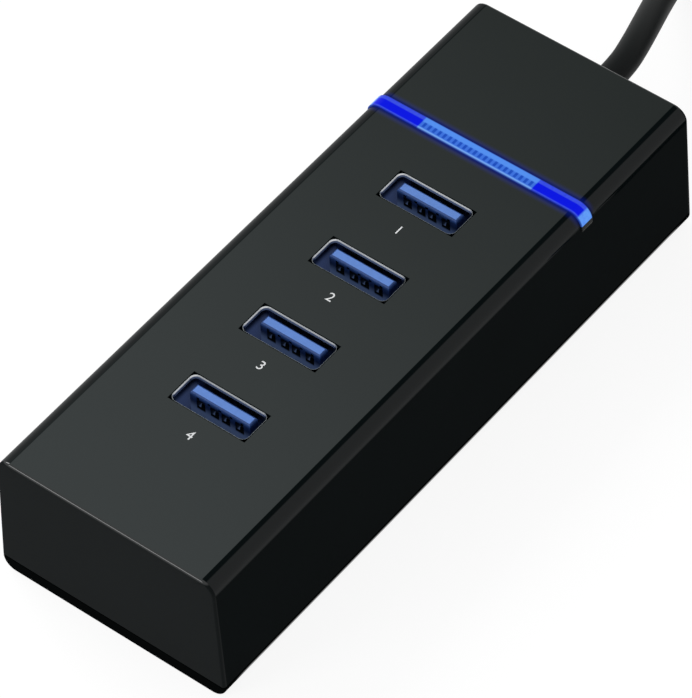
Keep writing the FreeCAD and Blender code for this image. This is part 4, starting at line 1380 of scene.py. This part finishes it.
@dataclass(frozen=True)
class Studio:
    """White floor and sky, a softbox that fades from side to side, and two soft lamps."""

    floor_size: float = 3.0
    floor_colour: Colour = (0.9, 0.9, 0.9)
    floor_lift: float = 0.82  # share of the floor's white that doesn't depend on the lamps
    floor_glow: float = 1.08
    sky: Colour = (0.50, 0.50, 0.50)  # light on the hub; mirrors and the camera see it white
    card_place: Point = (-0.6, 0.72, 1.1)
    card_size: float = 1.0
    card_bright: Colour = (0.931, 1.029, 1.025)
    card_dim: Colour = (0.388, 0.432, 0.408)
    card_fade: Span = (-0.20, 0.22)  # where it goes over from bright to dim, along Y
    card_skew: float = 0.35  # how far that goes along X too
    lamps: tuple[tuple[str, Point, float, float], ...] = (  # name, place, size and power
        ("key", (-0.55, 0.05, 0.5), 0.35, 2.4), ("front", (-0.25, -0.6, 0.35), 0.25, 1.0))

    @staticmethod
    def seen(shading: Shading) -> Value:
        """1 for what the camera sees, straight, mirrored or through glass, and 0 elsewhere."""
        rays = [shading.add("ShaderNodeLightPath", output=name)
                for name in ("Is Camera Ray", "Is Glossy Ray", "Is Transmission Ray")]
        return rays[0] + rays[1] + rays[2]

    @staticmethod
    def sheet(name: str, centre: Point, size: float, material: bpy.types.Material) -> None:
        """Makes one flat square of the stage."""
        corners = np.array([(-1, -1, 0), (1, -1, 0), (1, 1, 0), (-1, 1, 0)]) * size / 2 + centre
        mesh = bpy.data.meshes.new(name)
        mesh.from_pydata(corners.tolist(), [], [(0, 1, 2, 3)])
        mesh.materials.append(material)
        placed(name, mesh)

    def floor(self) -> None:
        """Makes the pale floor, which keeps a soft shadow of the hub."""
        shading = Shading("white_floor")
        lit = shading.add("ShaderNodeBsdfDiffuse", sockets={"Color": (*self.floor_colour, 1.0)})
        glow = shading.add("ShaderNodeEmission",
                           sockets={"Color": (*WHITE, 1.0), "Strength": self.floor_glow})
        share = self.floor_lift * self.seen(shading)
        shading.add_output(shading.add("ShaderNodeMixShader", sockets={0: share, 1: lit, 2: glow}))
        self.sheet("floor", (0.0, 0.0, 0.0), self.floor_size, shading.block)

    def softbox(self) -> None:
        """Makes the glowing card that the roof mirrors; it fades along Y and a little along X."""
        shading = Shading("softbox")
        x, y, _ = shading.place()
        along = (y - self.card_place[1]) + self.card_skew * (x - self.card_place[0])
        grey = shading.blend(along.step(*self.card_fade), self.card_bright, self.card_dim)
        shading.add_output(shading.add("ShaderNodeEmission", sockets={"Color": grey}))
        self.sheet("softbox", self.card_place, self.card_size, shading.block)

    def world(self) -> None:
        """Lights everything evenly, and shows white to the camera and to mirrors."""
        shading = Shading("studio", world=True)
        colour = shading.blend(self.seen(shading), self.sky, WHITE)
        light = shading.add("ShaderNodeBackground", sockets={"Color": colour})
        shading.add_output(light, "ShaderNodeOutputWorld")
        bpy.context.scene.world = shading.block

    @staticmethod
    def lamp(name: str, place: Point, size: float, power: float) -> None:
        """Adds one soft square lamp that faces the origin."""
        light = bpy.data.lights.new(name, "AREA")
        light.size, light.energy = size, power
        made = placed(name, light)
        made.location = place
        made.rotation_euler = Vector(place).to_track_quat("Z", "Y").to_euler()

    def build(self) -> None:
        """Makes the floor, the softbox, the sky and the lamps."""
        self.floor()
        self.softbox()
        self.world()
        for lamp in self.lamps:
            self.lamp(*lamp)
        bpy.context.scene.view_settings.view_transform = "Standard"


def finishes(envelope: Envelope, pipe_y: float, port_x: float, tip_z: float,
             tie_x: float) -> dict[Slot, Any]:
    """Every slot's finish; the ports' tongues end at height tip_z."""
    return {
        Slot.HOUSING: Lacquer("black_lacquer", envelope.height, envelope.reach_y, pipe_y,
                              PIPE_HALF),
        Slot.BASE: CoverMoulding("satin_base", envelope.reach_x, envelope.reach_y),
        Slot.PIPE: GlowingPipe("blue_pipe", pipe_y, PIPE_HALF),
        Slot.STEEL: Metal("nickel_sheet", (0.66, 0.66, 0.65), 0.24),
        Slot.INSULATOR: BlueMoulding("blue_moulding", port_x, tip_z),
        Slot.GOLD: ContactGold("gold_flash", tip_z),
        Slot.BOARD: BoardLacquer("green_board"),
        Slot.CHIP: Plastic("chip_resin", (0.012, 0.012, 0.013), 0.55, *mm(0.08, 0.006)),
        Slot.CAN: Metal("drawn_can", (0.80, 0.80, 0.82), 0.30),
        Slot.PART: Plastic("tan_ceramic", (0.36, 0.22, 0.11), 0.5, 0.1 * MM),
        Slot.CRYSTAL: Metal("crystal_can", (0.75, 0.74, 0.70), 0.28),
        Slot.LED: Plastic("lamp_resin", (0.70, 0.72, 0.75), 0.3, 0.1 * MM),
        Slot.SOLDER: Metal("solder", (0.66, 0.66, 0.68), 0.35, (1.0, 1.0, 1.0), *mm(0.3, 0.02)),
        Slot.SCREW: Metal("screw_steel", (0.55, 0.55, 0.56), 0.32),
        Slot.WIRE: Plastic("wire_insulation", (0.30, 0.03, 0.03), 0.4, 0.2 * MM),
        Slot.CORD: WoundJacket("cord_jacket"),
        Slot.TIE: Woven("woven_tie", tie_x),
        Slot.GRIP: Plastic("grip_rubber", (0.010, 0.0105, 0.011), 0.5, *mm(0.25, 0.012),
                           specular=0.18),
        Slot.LABEL: Plastic("white_ink", (0.80, 0.81, 0.82), 0.5, *mm(0.1, 0.002), 0.06),
    }


NODE_SLOTS = {
    "circuit_board": Slot.BOARD, "board_screws": Slot.SCREW, "hub_controller": Slot.CHIP,
    "crystal": Slot.CRYSTAL, "voltage_regulator": Slot.CHIP, "resettable_fuse": Slot.CHIP,
    "can_capacitors": Slot.CAN, "ceramic_capacitors": Slot.PART, "resistors": Slot.CHIP,
    "led_left": Slot.LED, "led_right": Slot.LED, "cord_inner_end": Slot.CORD,
    "cord_wires": Slot.WIRE, "solder_joints": Slot.SOLDER, "plug_shell": Slot.STEEL,
    "plug_insulator": Slot.INSULATOR, "plug_contacts": Slot.GOLD,
}


def middle(box: tuple[Vector, Vector]) -> Point:
    """Middle of a node's box."""
    return tuple((low + high) / 2 for low, high in zip(*box))


def dress(name: str, material: bpy.types.Material) -> None:
    """Gives a node that keeps its own shape its finish."""
    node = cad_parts[name]
    node.data.materials.clear()
    node.data.materials.append(material)


def main() -> None:
    """Builds the hub, its cord and the studio, and dresses the nodes that keep their own shape."""
    Viewpoint().build()
    shell_low, shell_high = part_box("upper_shell")
    relief_low, relief_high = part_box("strain_relief")
    tie_low, tie_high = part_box("cord_tie")
    grip_low, grip_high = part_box("plug_grip")
    port_boxes = [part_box(f"port_{number}_shell") for number in range(1, 5)]
    ports = [middle(box) for box in port_boxes]
    port_x, tip_z = ports[0][0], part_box("port_1_insulator")[1].z
    pipe_y, cord_z = middle(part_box("light_pipe"))[1], middle((relief_low, relief_high))[2]
    tie_x = middle((tie_low, tie_high))[0]
    grip_x, _, grip_z = middle((grip_low, grip_high))
    pipe_span = (pipe_y - PIPE_HALF, pipe_y + PIPE_HALF)
    envelope = Envelope(shell_high.x, shell_high.y, parting=shell_low.z, height=shell_high.z)
    finished = finishes(envelope, pipe_y, port_x, tip_z, tie_x)
    materials = {slot: kind.material() for slot, kind in finished.items()}
    sheet = PortSheet("port_sheet", port_x, port_boxes[0][1].z).material()

    cord = Cord().build(materials[Slot.CORD])
    housing = Housing(envelope, [port[1] for port in ports], pipe_span, PIPE_FOOT, cord_z, port_x)
    housing.shell(materials[Slot.HOUSING])
    housing.cover(materials[Slot.BASE])
    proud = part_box("light_pipe")[1].z - shell_high.z
    pipe = LightPipe(envelope, pipe_span, PIPE_FOOT, proud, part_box("circuit_board")[1].z,
                     abs(middle(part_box("led_right"))[0]))
    pipe.build(materials[Slot.PIPE])
    wall_outer = envelope.end(cord_z)
    boot = StrainRelief(cord_z, relief_low.y, relief_high.y, wall_outer - housing.wall, wall_outer)
    boot = boot.build(materials[Slot.GRIP])
    strap = Tie(tie_x, (tie_low.y, tie_low.z), (tie_high.y, tie_high.z))
    strap = strap.build(materials[Slot.TIE])
    grip_size = (grip_high.x - grip_low.x, grip_high.z - grip_low.z)
    grip = PlugGrip((grip_x, grip_z), grip_low.y, grip_high.y, grip_size)
    grip = grip.build(materials[Slot.GRIP])
    for number, (x, y, _) in enumerate(ports, 1):
        Numerals(envelope.height).build(number, x, y, materials[Slot.LABEL])

    for name, slot in NODE_SLOTS.items():
        dress(name, materials[slot])
    for number in range(1, 5):
        dress(f"port_{number}_shell", sheet)
        dress(f"port_{number}_insulator", materials[Slot.INSULATOR])
        dress(f"port_{number}_contacts", materials[Slot.GOLD])
    Studio().build()


if __name__ == "__main__":
    main()
